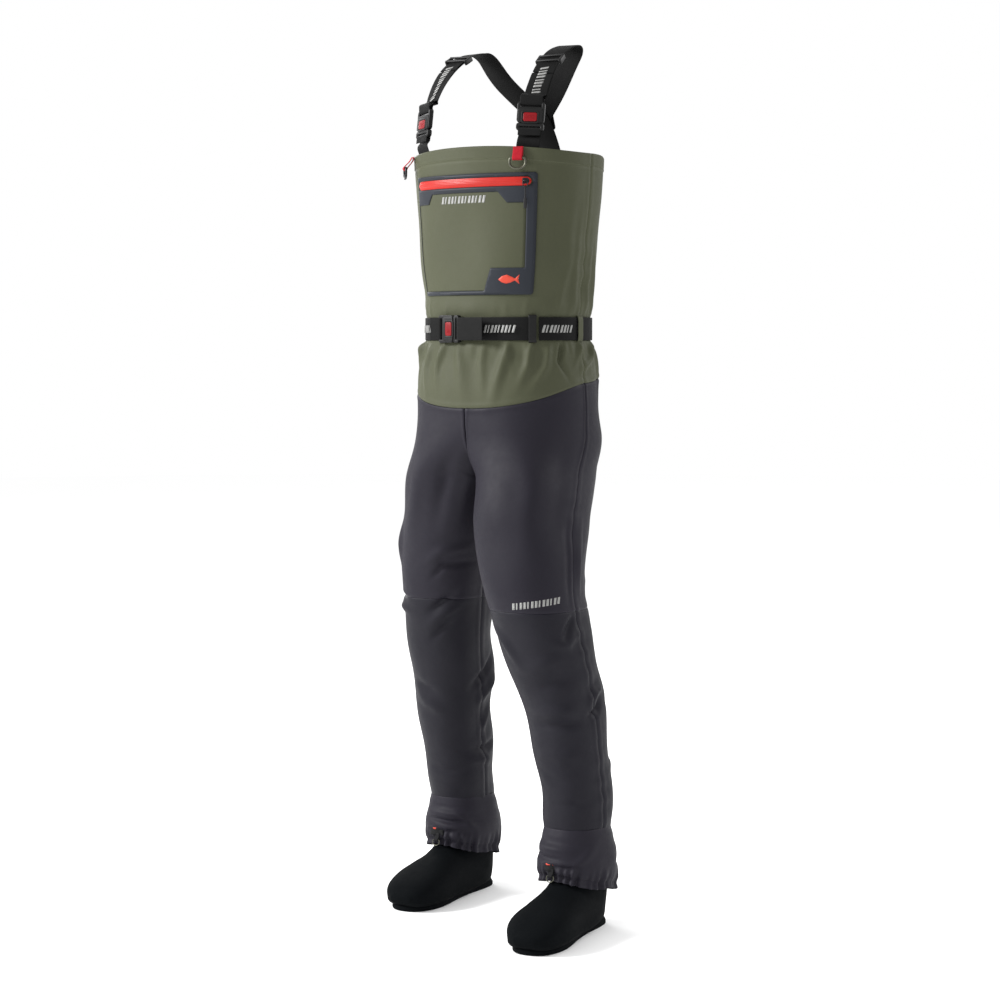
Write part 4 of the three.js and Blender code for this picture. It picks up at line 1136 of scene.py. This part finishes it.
def make_label(side):
    """A small woven label over the lace hook, with a fish on it."""
    centre = 0.735 if side == "left" else 0.765

    def on_guard(x, y, out):
        return guard_surface(side, centre + np.asarray(x) / 400, 0.67 - np.asarray(y) / 95, out)[0]

    base = [rounded(25, 25, 2.5)]
    label = drape(f"{side}_hook_label", base, lambda x, y: on_guard(x, y, 2.6), LABEL, 1.0, 2.5)
    settle(label, "webbing")
    body = [
        (-8, 0), (-4, 3.2), (1, 3.6), (5, 1.2), (8.5, 4.0),
        (7.6, 0.4), (8.8, -3.4), (5, -0.9), (1, -2.8), (-4, -2.6),
    ]
    fish = drape(f"{side}_label_fish", [body], lambda x, y: on_guard(x, y + 1, 2.75), ORANGE_INK, 0.12, 2.0)
    settle(fish, "webbing")


# ---------------------------------------------------------------- buckles
def buckle_socket():
    """The buckle's housing: a plate with an eye and a bar for the webbing, and a rim round the button."""
    b = 1.3
    outer = rounded(BUCKLE_WIDTH - 2 * b, SOCKET - 2 * b, 4, 0, SOCKET / 2)
    eye = rounded(SLOT - 4 + 2 * b, 6.6 + 2 * b, 1.6, 0, SOCKET - 5.6)
    frame_plate = moulding([outer, eye], 8.4, b)
    window = rounded(25.6, 16.6, 2.4, 0, 9.5)
    face = moulding([rounded(BUCKLE_WIDTH - 7, 23, 3, 0, 12.2), window], 2.0, 0.7, 4.3)
    lip = moulding([rounded(30, 21, 3.4, 0, 9.5), rounded(26.4, 17.4, 2.6, 0, 9.5)], 1.4, 0.5, 5.2)
    bar = capsule((-SLOT / 2, SOCKET_BAR, 0), (SLOT / 2, SOCKET_BAR, 0), BAR)
    ribs = [capsule((-15, y, 4.6), (15, y, 4.6), 0.55, 8) for y in (21.2, 22.8)]
    return [frame_plate, face, lip, bar, *ribs]


def buckle_plug():
    b = 1.2
    outer = rounded(BUCKLE_WIDTH - 2 * b, PLUG - 2 * b, 3.4, 0, -PLUG / 2 - GAP)
    eye = rounded(SLOT - 4 + 2 * b, 5.2, 1.4, 0, -PLUG + 5.4)
    plate = moulding([outer, eye], 8.4, b)
    bar = capsule((-SLOT / 2, PLUG_BAR, 0), (SLOT / 2, PLUG_BAR, 0), BAR)
    tongue = moulding([rounded(24, 21, 3, 0, 8)], 2.6, 0.6, -1.0)
    ridge = capsule((-18, -2.2, 4.1), (18, -2.2, 4.1), 0.6, 8)
    return [plate, bar, tongue, ridge]


def buckle_button():
    cap = moulding([rounded(22, 13, 2.2, 0, 9.5)], 4.0, 1.0, 4.5, 4)
    grips = [capsule((-7, y, 6.5), (7, y, 6.5), 0.35, 8) for y in (7.0, 9.5, 12.0)]
    return [cap, *grips]


def make_buckle(prefix, frame_matrix):
    parts = (("socket", buckle_socket, PLASTIC, "garment"), ("plug", buckle_plug, PLASTIC, f"{prefix}_plug"),
             ("button", buckle_button, RED_PLASTIC, f"{prefix}_button"))
    for part, shape, finish, body in parts:
        piece = hard_part(f"{prefix}_{part}_moulding", frame_matrix, finish, *shape())
        slot = "button_plastic" if part == "button" else "buckle_plastic"
        settle(piece, slot, f"{prefix}_buckle_{part}", body=body)


def round_bar(way, tail, lift=0.4):
    """Webbing round a buckle's bar: in behind it, round it and back in front. way is 1 at the socket."""
    centre = SOCKET_BAR if way > 0 else PLUG_BAR
    radius = BAR + 0.35 + WEB_THICK / 2
    points = [(0, centre + way * 9, -radius)]
    for k in range(13):
        turn = math.pi * (0.5 + k / 12)
        points.append((0, centre + way * radius * math.cos(turn), -radius * math.sin(turn)))
    points.append((0, centre + way * 12, radius + lift))
    points.append((0, centre + way * tail, radius + lift))
    return points


# ---------------------------------------------------------------- waist belt
BELT_TURNS = np.linspace(0, 2 * math.pi, 96, endpoint=False)
BELT_LINE = bib_point(BELT_TURNS, float(BELT_HEIGHT), BELT_STAND_OFF)
BELT = Route(curve_through(BELT_LINE, closed=True, steps=12))


def belt_start():
    """The distance of the buckle along the belt's route, which runs the other way round."""
    marks = np.linspace(0.55, 0.95, 2000) * BELT.length
    return marks[np.argmin(np.abs(BELT.at(marks)[:, 0] - BELT_BUCKLE_X))]


BELT_START = belt_start()


def belt_points(distance, out=0.0):
    """Points along the belt, by distance from the buckle round by the wearer's right."""
    mark = (BELT_START - np.asarray(distance, float)) % BELT.length
    way = BELT.way(np.clip(mark, 0.6, BELT.length - 0.6))
    away = np.stack([way[..., 1], -way[..., 0], 0 * way[..., 0]], -1)
    return BELT.at(mark) + away * np.asarray(out)[..., None]


def belt_mount():
    before, after = belt_points(-16), belt_points(32)
    along = unit(after - before)
    return mount(belt_points(0, BUCKLE_THICK / 2), along, (-along[1], along[0], 0))


def smooth_path(points, step=3.0):
    route = Route(curve_through(points, steps=16))
    return route.at(route.evenly(step))


def bars_on(name, place, count, height, bar=4.2):
    """A row of slanted bars, as plain decoration."""
    gap, slant = 2.4, 0.28
    parts = []
    total = count * (bar + gap) - gap
    for k in range(count):
        x = -total / 2 + k * (bar + gap)
        wide = bar * (0.65 if k % 3 == 1 else 1.0)
        lean = slant * height / 2
        low, high = -height / 2, height / 2
        outline = [(x - lean, low), (x + wide - lean, low), (x + wide + lean, high), (x + lean, high)]
        flat, faces = flat_mesh([outline], 3.0)
        parts.append((place(flat[:, 0], flat[:, 1]), faces))
    points, faces = combined(*parts)
    return thicken(make(name, points, faces, PALE_INK), 0.12)


BELT_JOIN = BELT.length - 150  # where the adjusting loop meets the main webbing, under the keeper
ADJUST_BARS = (76, -92)  # the rows of bars that lie on a second layer of webbing


def make_belt():
    total = BELT.length
    at = belt_mount()
    make_buckle("belt", at)
    up = np.array([0, 0, 1.0])
    socket_end = placed(round_bar(1, 22), at)[::-1]
    main = smooth_path([*socket_end, *belt_points(np.arange(56, BELT_JOIN, 12))])
    settle(webbing("waist_belt_web", main, up, BLACK_WEB), "webbing", "waist_belt")
    plug_end = placed(round_bar(-1, 60), at)
    loop = smooth_path([*belt_points(np.arange(BELT_JOIN + 1, total - 40, 11)), *plug_end])
    piece = webbing("belt_loop_web", loop, up, BLACK_WEB)
    start = (belt_points(total - 118) - SHOULDERS) * MM
    end = (placed([(0, -PLUG, 0)], at)[0] - SHOULDERS) * MM
    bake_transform(piece)
    finish_off(piece, "webbing", "belt_adjust_loop")

    for side, where in (("left", total * 0.72), ("right", total * 0.2), ("back", total * 0.47)):
        make_carrier(side, where)
    make_keeper()
    for k, middle in enumerate((76, -92, -196, 150, 340, 520)):
        make_belt_bars(k, middle)


def belt_run(where):
    run = unit(belt_points(where + 1) - belt_points(where))
    return run, (-run[1], run[0], 0)


def make_carrier(side, where):
    """A loop of bib cloth that holds the belt."""
    _, away = belt_run(where)
    frame_matrix = mount(belt_points(where), (0, 0, 1), away)
    half = [(0, 16, 2.9), (0, 21, 1.6), (0, 23, -0.6), (0, 25, -1.6)]
    line = [*[(x, -y, z) for x, y, z in half[::-1]], (0, 0, 3.1), *half]
    path = placed(smooth_path(line, 1.5), frame_matrix)
    carrier = webbing(f"{side}_belt_carrier", path, frame_matrix[:3, 0], OLIVE, 14, 1.2)
    settle(carrier, "bib_fabric", f"{side}_belt_loop")


def make_keeper():
    """The moulded sleeve that holds the end of the adjusting loop."""
    run, away = belt_run(BELT_JOIN)
    frame_matrix = mount(belt_points(BELT_JOIN), run, away)
    half_width, half_height, lift = WEB_WIDTH / 2 + 2.2, 2.3, 0.6

    def squared(value, power):
        return math.copysign(abs(value) ** power, value)

    rim = [
        (half_width * squared(math.cos(t), 0.25), lift + half_height * squared(math.sin(t), 0.6))
        for t in np.linspace(0, 2 * math.pi, 60, endpoint=False)
    ]
    ends = ((-6.5, 1), (-5.8, 1.03), (5.8, 1.03), (6.5, 1))
    ring = np.array([[(x * k, y, z * k + lift * (1 - k)) for x, z in rim] for y, k in ends])
    faces = grid_faces(len(ends), len(rim), True)
    keeper = make("belt_keeper_moulding", placed(ring.reshape(-1, 3), frame_matrix), faces, PLASTIC, sharp=40)
    thicken(keeper, 1.1)
    settle(keeper, "buckle_plastic", "belt_keeper")


def make_belt_bars(number, middle):
    above = WEB_THICK / 2 + 0.25 + (2.9 if middle in ADJUST_BARS else 0)

    def on_belt(x, y):
        return belt_points(middle - np.asarray(x), above) + np.stack([0 * x, 0 * x, y], -1)

    settle(bars_on(f"belt_bars_{number}", on_belt, 9, 13), "webbing")


# ---------------------------------------------------------------- suspenders
STRAP = Route(curve_through(STRAP_LINE))
TO_HEM = STRAP.length


def left_across(distance):
    distance = np.asarray(distance, float)
    way = -STRAP.way(np.clip(distance, 0.6, TO_HEM - 0.6))
    away = unit(np.stack([0 * way[..., 0], -way[..., 2], way[..., 1]], -1))
    yaw = np.radians(STRAP_YAW) * step_up(distance, 60, TO_HEM - 90)
    across = np.stack([np.cos(yaw), 0 * yaw, 0 * yaw], -1) - away * np.sin(yaw)[..., None]
    return unit(across - np.sum(across * way, -1, keepdims=True) * way)


def strap_across(side, distance):
    return left_across(distance) * ([1, 1, 1] if side == "left" else [1, -1, -1])


def strap_point(side, distance, out=0.0):
    distance = np.asarray(distance, float)
    way = -STRAP.way(np.clip(distance, 0.6, TO_HEM - 0.6))
    away = -np.cross(way, left_across(distance))
    return (STRAP.at(distance) + away * np.asarray(out)[..., None]) * [SIGN[side], 1, 1]


def front_point(x, height, out):
    width = between(TORSO, np.asarray(height, float))[0]
    return share_point(np.clip(x / width, -0.98, 0.98), height, out)


def share_turn(share):
    share = np.asarray(share, float)
    return -np.arccos(np.sign(share) * np.abs(share) ** (ROUNDNESS / 2))


def share_point(share, height, out):
    return bib_point(share_turn(share), np.asarray(height, float), out)


def glide_bar(y, z, radius):
    return capsule((-23.5, y, z), (23.5, y, z), radius, 14)


MEET = TO_HEM - BUCKLE_FROM_HEM  # along the strap, where the buckle's halves meet
STRAP_THICK = 1.4
LAYER = 1.2  # how far each of two layers of webbing lies from the strap's middle line


def make_suspender(side):
    across = strap_across(side, MEET)
    along = unit(strap_point(side, MEET) - strap_point(side, TO_HEM))
    at = mount(strap_point(side, MEET), along, np.cross(across, along))
    make_buckle(f"{side}_strap", at)
    make_anchor(side, at, across)
    make_strap_loop(side, at, across)
    make_adjuster(side)
    make_shoulder_strap(side)
    make_strap_print(side)


def make_anchor(side, at, across):
    """From inside the bib up and round the plug's bar."""
    x = SIGN[side] * STRAP_LINE[-1][0]
    inside = [front_point(x, height, -6.6) for height in (1322.0, 1346.0, 1366.0)]
    plug_end = placed(round_bar(-1, 11), at)
    anchor = smooth_path([*inside, strap_point(side, TO_HEM - 12), *plug_end], 2.5)
    piece = webbing(f"{side}_anchor_web", anchor, across, BLACK_WEB)
    start, end = (inside[0] - SHOULDERS) * MM, (placed([(0, -PLUG, 0)], at)[0] - SHOULDERS) * MM
    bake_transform(piece)
    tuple(start)
    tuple(end)
    finish_off(piece, "webbing", f"{side}_anchor_webbing")


def make_strap_loop(side, at, across):
    """From the adjuster down behind, round the socket's bar and back up in front."""
    glide = ADJUSTER_FROM_TOP[side]
    start, end = glide - 5, glide + 37
    run = np.linspace(start, MEET - SOCKET - 8, 30)
    bar = placed(round_bar(1, 15)[:-1], at)
    front = strap_point(side, np.linspace(MEET - SOCKET - 20, end, 8), LAYER)
    loop = smooth_path([*strap_point(side, run[::2], -LAYER), *bar, *front], 2.5)
    share = np.linspace(0, 1, len(loop))[:, None]
    down, up = step_up(share, 0.0, 0.45), step_up(share, 0.6, 1.0)
    widths = unit(mix(strap_across(side, start), across, down) * (1 - up) + strap_across(side, end) * up)
    strap = webbing(f"{side}_strap_web", loop, widths, BLACK_WEB, WEB_WIDTH, STRAP_THICK)
    settle(strap, "webbing", f"{side}_strap_loop")


def make_adjuster(side):
    """A three-bar slide: two bars in front of the webbing and one behind it."""
    glide = ADJUSTER_FROM_TOP[side]
    way = unit(strap_point(side, glide - 1) - strap_point(side, glide + 1))
    frame_matrix = mount(strap_point(side, glide), way, np.cross(strap_across(side, glide), way))
    rails = [moulding([rounded(2.6, 18, 1.2, s * 23, 0)], 9.2, 1.3) for s in (-1, 1)]
    parts = [*rails, glide_bar(7, 3.6, 1.9), glide_bar(-7, 3.6, 1.9), glide_bar(0, -3.6, 1.6)]
    adjuster = hard_part(f"{side}_adjuster_moulding", frame_matrix, PLASTIC, *parts)
    settle(adjuster, "buckle_plastic", f"{side}_strap_adjuster", body=f"{side}_adjuster")


def make_shoulder_strap(side):
    """From the front layer under the adjuster, over the shoulder and down the back, crossing the other."""
    sign, start = SIGN[side], ADJUSTER_FROM_TOP[side] + 34
    over = strap_point(side, np.linspace(start, 0, 40), LAYER)
    shift = np.array([0, 0, 0.5, 1, 1, 1, 1, 1, 1]) * sign * LAYER
    behind = (np.array(BACK_LINE) + np.stack([0 * shift, shift, 0 * shift], -1)) * [sign, 1, 1]
    path = smooth_path([*over[:-1:3], over[-1], *behind], 4)
    eased = np.concatenate([path[:1].repeat(5, 0), path, path[-1:].repeat(5, 0)])
    eased = np.stack([np.convolve(eased[:, k], np.full(11, 1 / 11), "valid") for k in range(3)], -1)
    hold = np.clip(np.minimum(np.arange(len(path)), np.arange(len(path))[::-1]) / 8, 0, 1)[:, None]
    path = mix(path, eased, hold)
    share = np.clip(np.linspace(0, 1, len(path)) * 3.0, 0, 1)[:, None]
    widths = unit(mix(strap_across(side, start), np.array([1.0, 0, 0]), share))
    strap = webbing(f"{side}_shoulder_web", path, widths, PLAIN_WEB, WEB_WIDTH, STRAP_THICK)
    settle(strap, "webbing", f"{side}_shoulder_strap")


def make_strap_print(side):
    middle = (ADJUSTER_FROM_TOP[side] + 14 + MEET - SOCKET - 10) / 2

    def on_strap(x, y):
        distance = middle - np.asarray(x)
        return strap_point(side, distance, 2.35) + strap_across(side, distance) * np.asarray(y)[..., None]

    count = 9 if side == "left" else 12
    settle(bars_on(f"{side}_strap_bars", on_strap, count, 15), "webbing")


def make_crossing():
    out = np.array([0, 0.947, 0.32])
    at = mount(np.array(CROSSING) + out * 5.2, (0, -0.32, 0.947), out)
    patch = hard_part("crossing_cover", at, BLACK_WEB, moulding([rounded(51.6, 43.6, 5)], 2.2, 0.9))
    settle(patch, "webbing", "crossing_patch")
    lines = []
    for inset in (0, 5):
        ring = rounded(47 - 2 * inset, 39 - 2 * inset, 4)
        lines.append(placed([(x, y, 1.25) for x, y in [*ring, ring[0]]], at))
    settle(stitches("crossing_stitching", lines, DARK_THREAD, 3, 2.1, 0.3), "webbing")


# ---------------------------------------------------------------- rings and hooks
def make_hanger(side, part, at, sizes, lean, web, metal, tab_slot, nodes, body):
    """A folded tab with a wire loop hanging in it."""
    eye, thick, tab_width, radius = sizes["pivot"], sizes["thick"], sizes["tab"], sizes["wire"] / 2
    back = 0.9
    front = back + 2 * thick
    centre = np.array([0, -sizes["drop"] + eye, eye + back + lean])
    hold = max(eye, radius + thick / 2 + 0.6)
    fold = [centre + [0, -hold * math.sin(a), -hold * math.cos(a)] for a in np.linspace(0, math.pi, 9)]
    line = [(0, 4, back), (0, -2, back + 0.1 * lean), *fold, (0, -4, front + 0.4 * lean), (0, 3.6, front)]
    strip = smooth_path(line, 1.0)
    tab = webbing(f"{side}_{part}_tab_web", placed(strip, at), at[:3, 0], web, tab_width, thick)
    settle(tab, tab_slot, nodes[0])
    half, height = sizes["width"] / 2, sizes["height"]
    corner = (half - tab_width / 2) * 0.5
    bow = [
        (half * math.cos(a), -height * (0.42 + 0.5 * math.sin(a)), 0) for a in np.linspace(0, math.pi, 25)
    ]
    end = [(half - corner * 1.5, 0), (half - corner * 0.5, -corner * 0.35), (half, -corner * 1.6)]
    bar = [*[(-x, y, 0) for x, y in end[::-1]], (0, 0, 0), *[(x, y, 0) for x, y in end]]
    loop = curve_through([*bow, *bar], closed=True, steps=5)[:-1]
    wire = tube(loop + centre, radius, 16, closed=True)
    settle(hard_part(f"{side}_{part}_wire", at, metal, wire, sharp=80), "metal", nodes[1], body=body)
    sew = tab_width / 2 - 2
    z = front + thick / 2 + 0.1
    rows = [placed([(-sew, y, z), (sew, y, z)], at) for y in (2.2, 0.2)]
    settle(stitches(f"{side}_{part}_tab_stitching", rows, DARK_THREAD, 2.4, 1.7, 0.25), tab_slot)


def make_ring(side):
    x, lean = RING_PLACE[side]
    start = front_point(x, 1370.0, 1)
    run = unit(front_point(x + 2, 1370.0, 1) - front_point(x - 2, 1370.0, 1))
    turn = -math.acos(math.copysign(abs(x / 180) ** (ROUNDNESS / 2), x))
    start[2] = height_round(HEM, turn) - 4
    at = mount(start, (0, 0, 1), (run[1], -run[0], 0))
    metal = METAL if side == "left" else DARK_METAL
    make_hanger(side, "ring", at, RING, lean, RED_WEB, metal, "tab_webbing",
                (f"{side}_ring_tab", f"{side}_d_ring"), f"{side}_ring")


def make_hook(side):
    low = guard_point(side, np.array(0.75), np.array(0.96))
    down = unit(low - guard_point(side, np.array(0.75), np.array(0.7)))
    at = mount(guard_point(side, np.array(0.75), np.array(0.8), 0.8), -down, (0, -1, 0))
    make_hanger(side, "hook", at, HOOK, HOOK["lean"], LABEL, METAL, "webbing",
                (f"{side}_hook_tab", f"{side}_lace_hook"), f"{side}_hook")


# ---------------------------------------------------------------- chest pocket and zip
FRONT_WIDE = 179.0  # the bib's half width at the zip, which turns shares into millimetres


def on_chest(x, height, out):
    return bib_surface(share_turn(np.asarray(x) / FRONT_WIDE), height, out)[0]


def make_pocket():
    """A cloth panel with a welded frame round it, and plain bars and a fish for decoration."""
    left, right = POCKET["left"] * FRONT_WIDE, POCKET["right"] * FRONT_WIDE
    top, bottom, thin = POCKET["top"], POCKET["bottom"], POCKET["thin"]
    inner_right = right - POCKET["strip"] * FRONT_WIDE
    half = ZIP["width"] / 2
    zip_low, zip_high = ZIP["height"] - half, ZIP["height"] + half
    zip_right = (ZIP["right"] + 0.03) * FRONT_WIDE
    block_low = zip_low - 26
    low, high, far = bottom + thin - 1, zip_low - 2, inner_right + 1
    panel = [(left, low), (far, low), (far, high), (left, high)]
    piece = drape("pocket_cloth", [panel], lambda x, y: on_chest(x, y, 1.5), OLIVE, LAMINATE, 5)
    piece.data.attributes.new("seam", "FLOAT", "POINT")
    settle(piece, "bib_fabric", "pocket_panel")

    def cut_corners(start, end, low, high, cut):
        """A rectangle with the two corners at its far end cut off."""
        corner = [(end - cut, low), (end, low + cut), (end, high - cut), (end - cut, high)]
        return [(start, low), *corner, (start, high)]

    outer = cut_corners(left, right, bottom, top, 3)
    zip_hole = cut_corners(left + 2, zip_right, zip_low, zip_high, 5)
    block_right, block_left = inner_right - 42, left + 39
    window = [
        (left + 0.6, bottom + thin), (inner_right - 77, bottom + thin), (inner_right - 63, bottom + 46),
        (inner_right, bottom + 46), (inner_right, block_low - 2), (block_right + 9, block_low - 2),
        (block_right - 8, zip_low - 9), (block_left + 8, zip_low - 9), (block_left - 3, block_low),
        (left + 0.6, block_low),
    ]
    trim = drape("pocket_trim", [outer, zip_hole, window], lambda x, y: on_chest(x, y, 2.5), SLATE, 0.9, 4)
    settle(trim, "weld_trim", "pocket_frame")
    middle_x, middle_z = (block_left + block_right) / 2, (zip_low - 9 + block_low) / 2 - 3
    mark = bars_on("pocket_bars", lambda x, y: on_chest(middle_x + x, middle_z + y, 1.75), 13, 12.5, bar=5.2)
    settle(mark, "weld_trim")
    fish_x, fish_z = inner_right - 28, bottom + 26
    fish = [
        (-20, 0), (-13, 6), (-3, 8.5), (7, 4.5), (13, 1.5), (21, 9),
        (19, 0.5), (21.5, -8.5), (13, -2), (5, -5.5), (-4, -7.5), (-13, -5),
    ]
    outline = [(x * 0.95, y * 0.95) for x, y in fish]
    on_corner = lambda x, y: on_chest(fish_x + x, fish_z + y, 2.65)
    settle(drape("pocket_fish", [outline], on_corner, ORANGE_INK, 0.12, 3), "weld_trim")


def make_zip():
    """The coated tape, closed, with its two edges meeting along the middle."""
    half = ZIP["width"] / 2 - 0.3
    left, right = ZIP["left"] * FRONT_WIDE, (ZIP["right"] + 0.02) * FRONT_WIDE
    columns, rows = 150, 33
    x = np.linspace(left, right, columns)[None]
    v = np.linspace(-1, 1, rows)[:, None]
    end = np.clip(np.minimum(x - left, right - x) / 9, 0, 1)
    taper = np.sqrt(np.clip(1 - (1 - end) ** 2, 0.02, 1))
    ridge = 1.5 * np.exp(-((v / 0.42) ** 4)) - 0.75 * np.exp(-((v / 0.05) ** 2))
    scallop = 0.12 * np.sin(x * 2 * math.pi / 2.6) * np.exp(-(((np.abs(v) - 0.14) / 0.09) ** 2))
    out = 1.9 + (ridge + scallop) * (0.35 + 0.65 * taper) - 0.4 * np.abs(v) ** 6
    points = on_chest(x + 0 * v, ZIP["height"] + half * v * taper, out)
    uv = np.stack(np.broadcast_arrays(x, v * half), -1).reshape(-1, 2)
    tape = make("zip_coated_tape", points.reshape(-1, 3), grid_faces(rows, columns), ZIP_RED, uv=uv)
    thicken(tape, 1.2)
    settle(tape, "zip_coating", "zip_tape")


def make_slider():
    """The zip's slider, and the corded pull that hangs from it."""
    place = ZIP["right"] - 0.03
    point = share_point(place, ZIP["height"], 1.4 + 2.3)
    run = unit(share_point(place + 0.01, ZIP["height"], 3) - share_point(place - 0.01, ZIP["height"], 3))
    away = np.array([run[1], -run[0], 0])
    at = mount(point, run, away)
    shield = [(-4.6, -6), (4.6, -6), (5.2, -2), (4.0, 3.5), (3.4, 6.3), (-3.4, 6.3), (-4.0, 3.5), (-5.2, -2)]
    body = moulding([[(x * 0.86, y * 0.86) for x, y in shield]], 2.4, 0.7, 1.5)
    cheeks = [moulding([rounded(1.0, 9, 0.45, s * 4.1, -0.4)], 1.2, 0.4, 2.9) for s in (-1, 1)]
    arch = [(0, 3.6 * math.cos(a), 2.4 + 4.4 * math.sin(a)) for a in np.linspace(0, math.pi, 17)]
    slider = hard_part("zip_slider_casting", at, DARK_METAL, body, *cheeks, tube(arch, 1.15, 12))
    settle(slider, "metal", "zip_slider", body="zip_slider")

    hang = mount(point + away * 4.9, (0, 0, -1), away)
    ring = [(-3.6, 0.2), (0, -0.9), (3.6, 0.2), (4.2, 4), (3.0, 9.5), (-3.0, 9.5), (-4.2, 4)]
    link = curve_through([(x, y, 0) for x, y in ring], closed=True, steps=8)[:-1]
    cord = [(0, 9, 0), (0.3, 14, 0.2), (-0.2, 20, 0.1), (0.2, 27, -0.1), (0, 31, 0)]
    end = moulding([rounded(3.4, 14.5, 1.6, 0, 39)], 3.4, 1.2)
    knots = [capsule((-1.6, y, 0), (1.6, y, 0), 1.5, 10) for y in (10.5, 31)]
    parts = [tube(link, 0.85, 10, closed=True), tube(smooth_path(cord, 1.5), 1.25, 10), end, *knots]
    pull = hard_part("zip_pull_cord", hang, RUBBER, *parts, sharp=50)
    settle(pull, "pull_rubber", "zip_pull", body="zip_pull")


def make_knee_mark():
    """Plain slanted bars on the left thigh, just above the knee seam."""
    def on_knee(x, y):
        x, height = np.asarray(x), KNEE_SEAM + 17 + np.asarray(y)
        share = (52 - x * 0.69) / 180
        points, _ = leg_surface("left", -1, share, height + 0.12 * x)
        _, turn = leg_point("left", -1, share, height)
        away = np.stack([np.cos(np.radians(turn)), np.sin(np.radians(turn)), 0 * turn], -1)
        return points + away * 0.35

    settle(bars_on("knee_bars", on_knee, 13, 11, bar=4.6), "leg_fabric")


make_camera()
make_studio()
make_bib()
for side in ("left", "right"):
    make_leg(side)
    make_sock(side)
    make_sole(side)
    make_guard(side)
    make_hook(side)
    make_suspender(side)
    make_ring(side)
make_crossing()
make_belt()
make_pocket()
make_zip()
make_slider()
make_knee_mark()
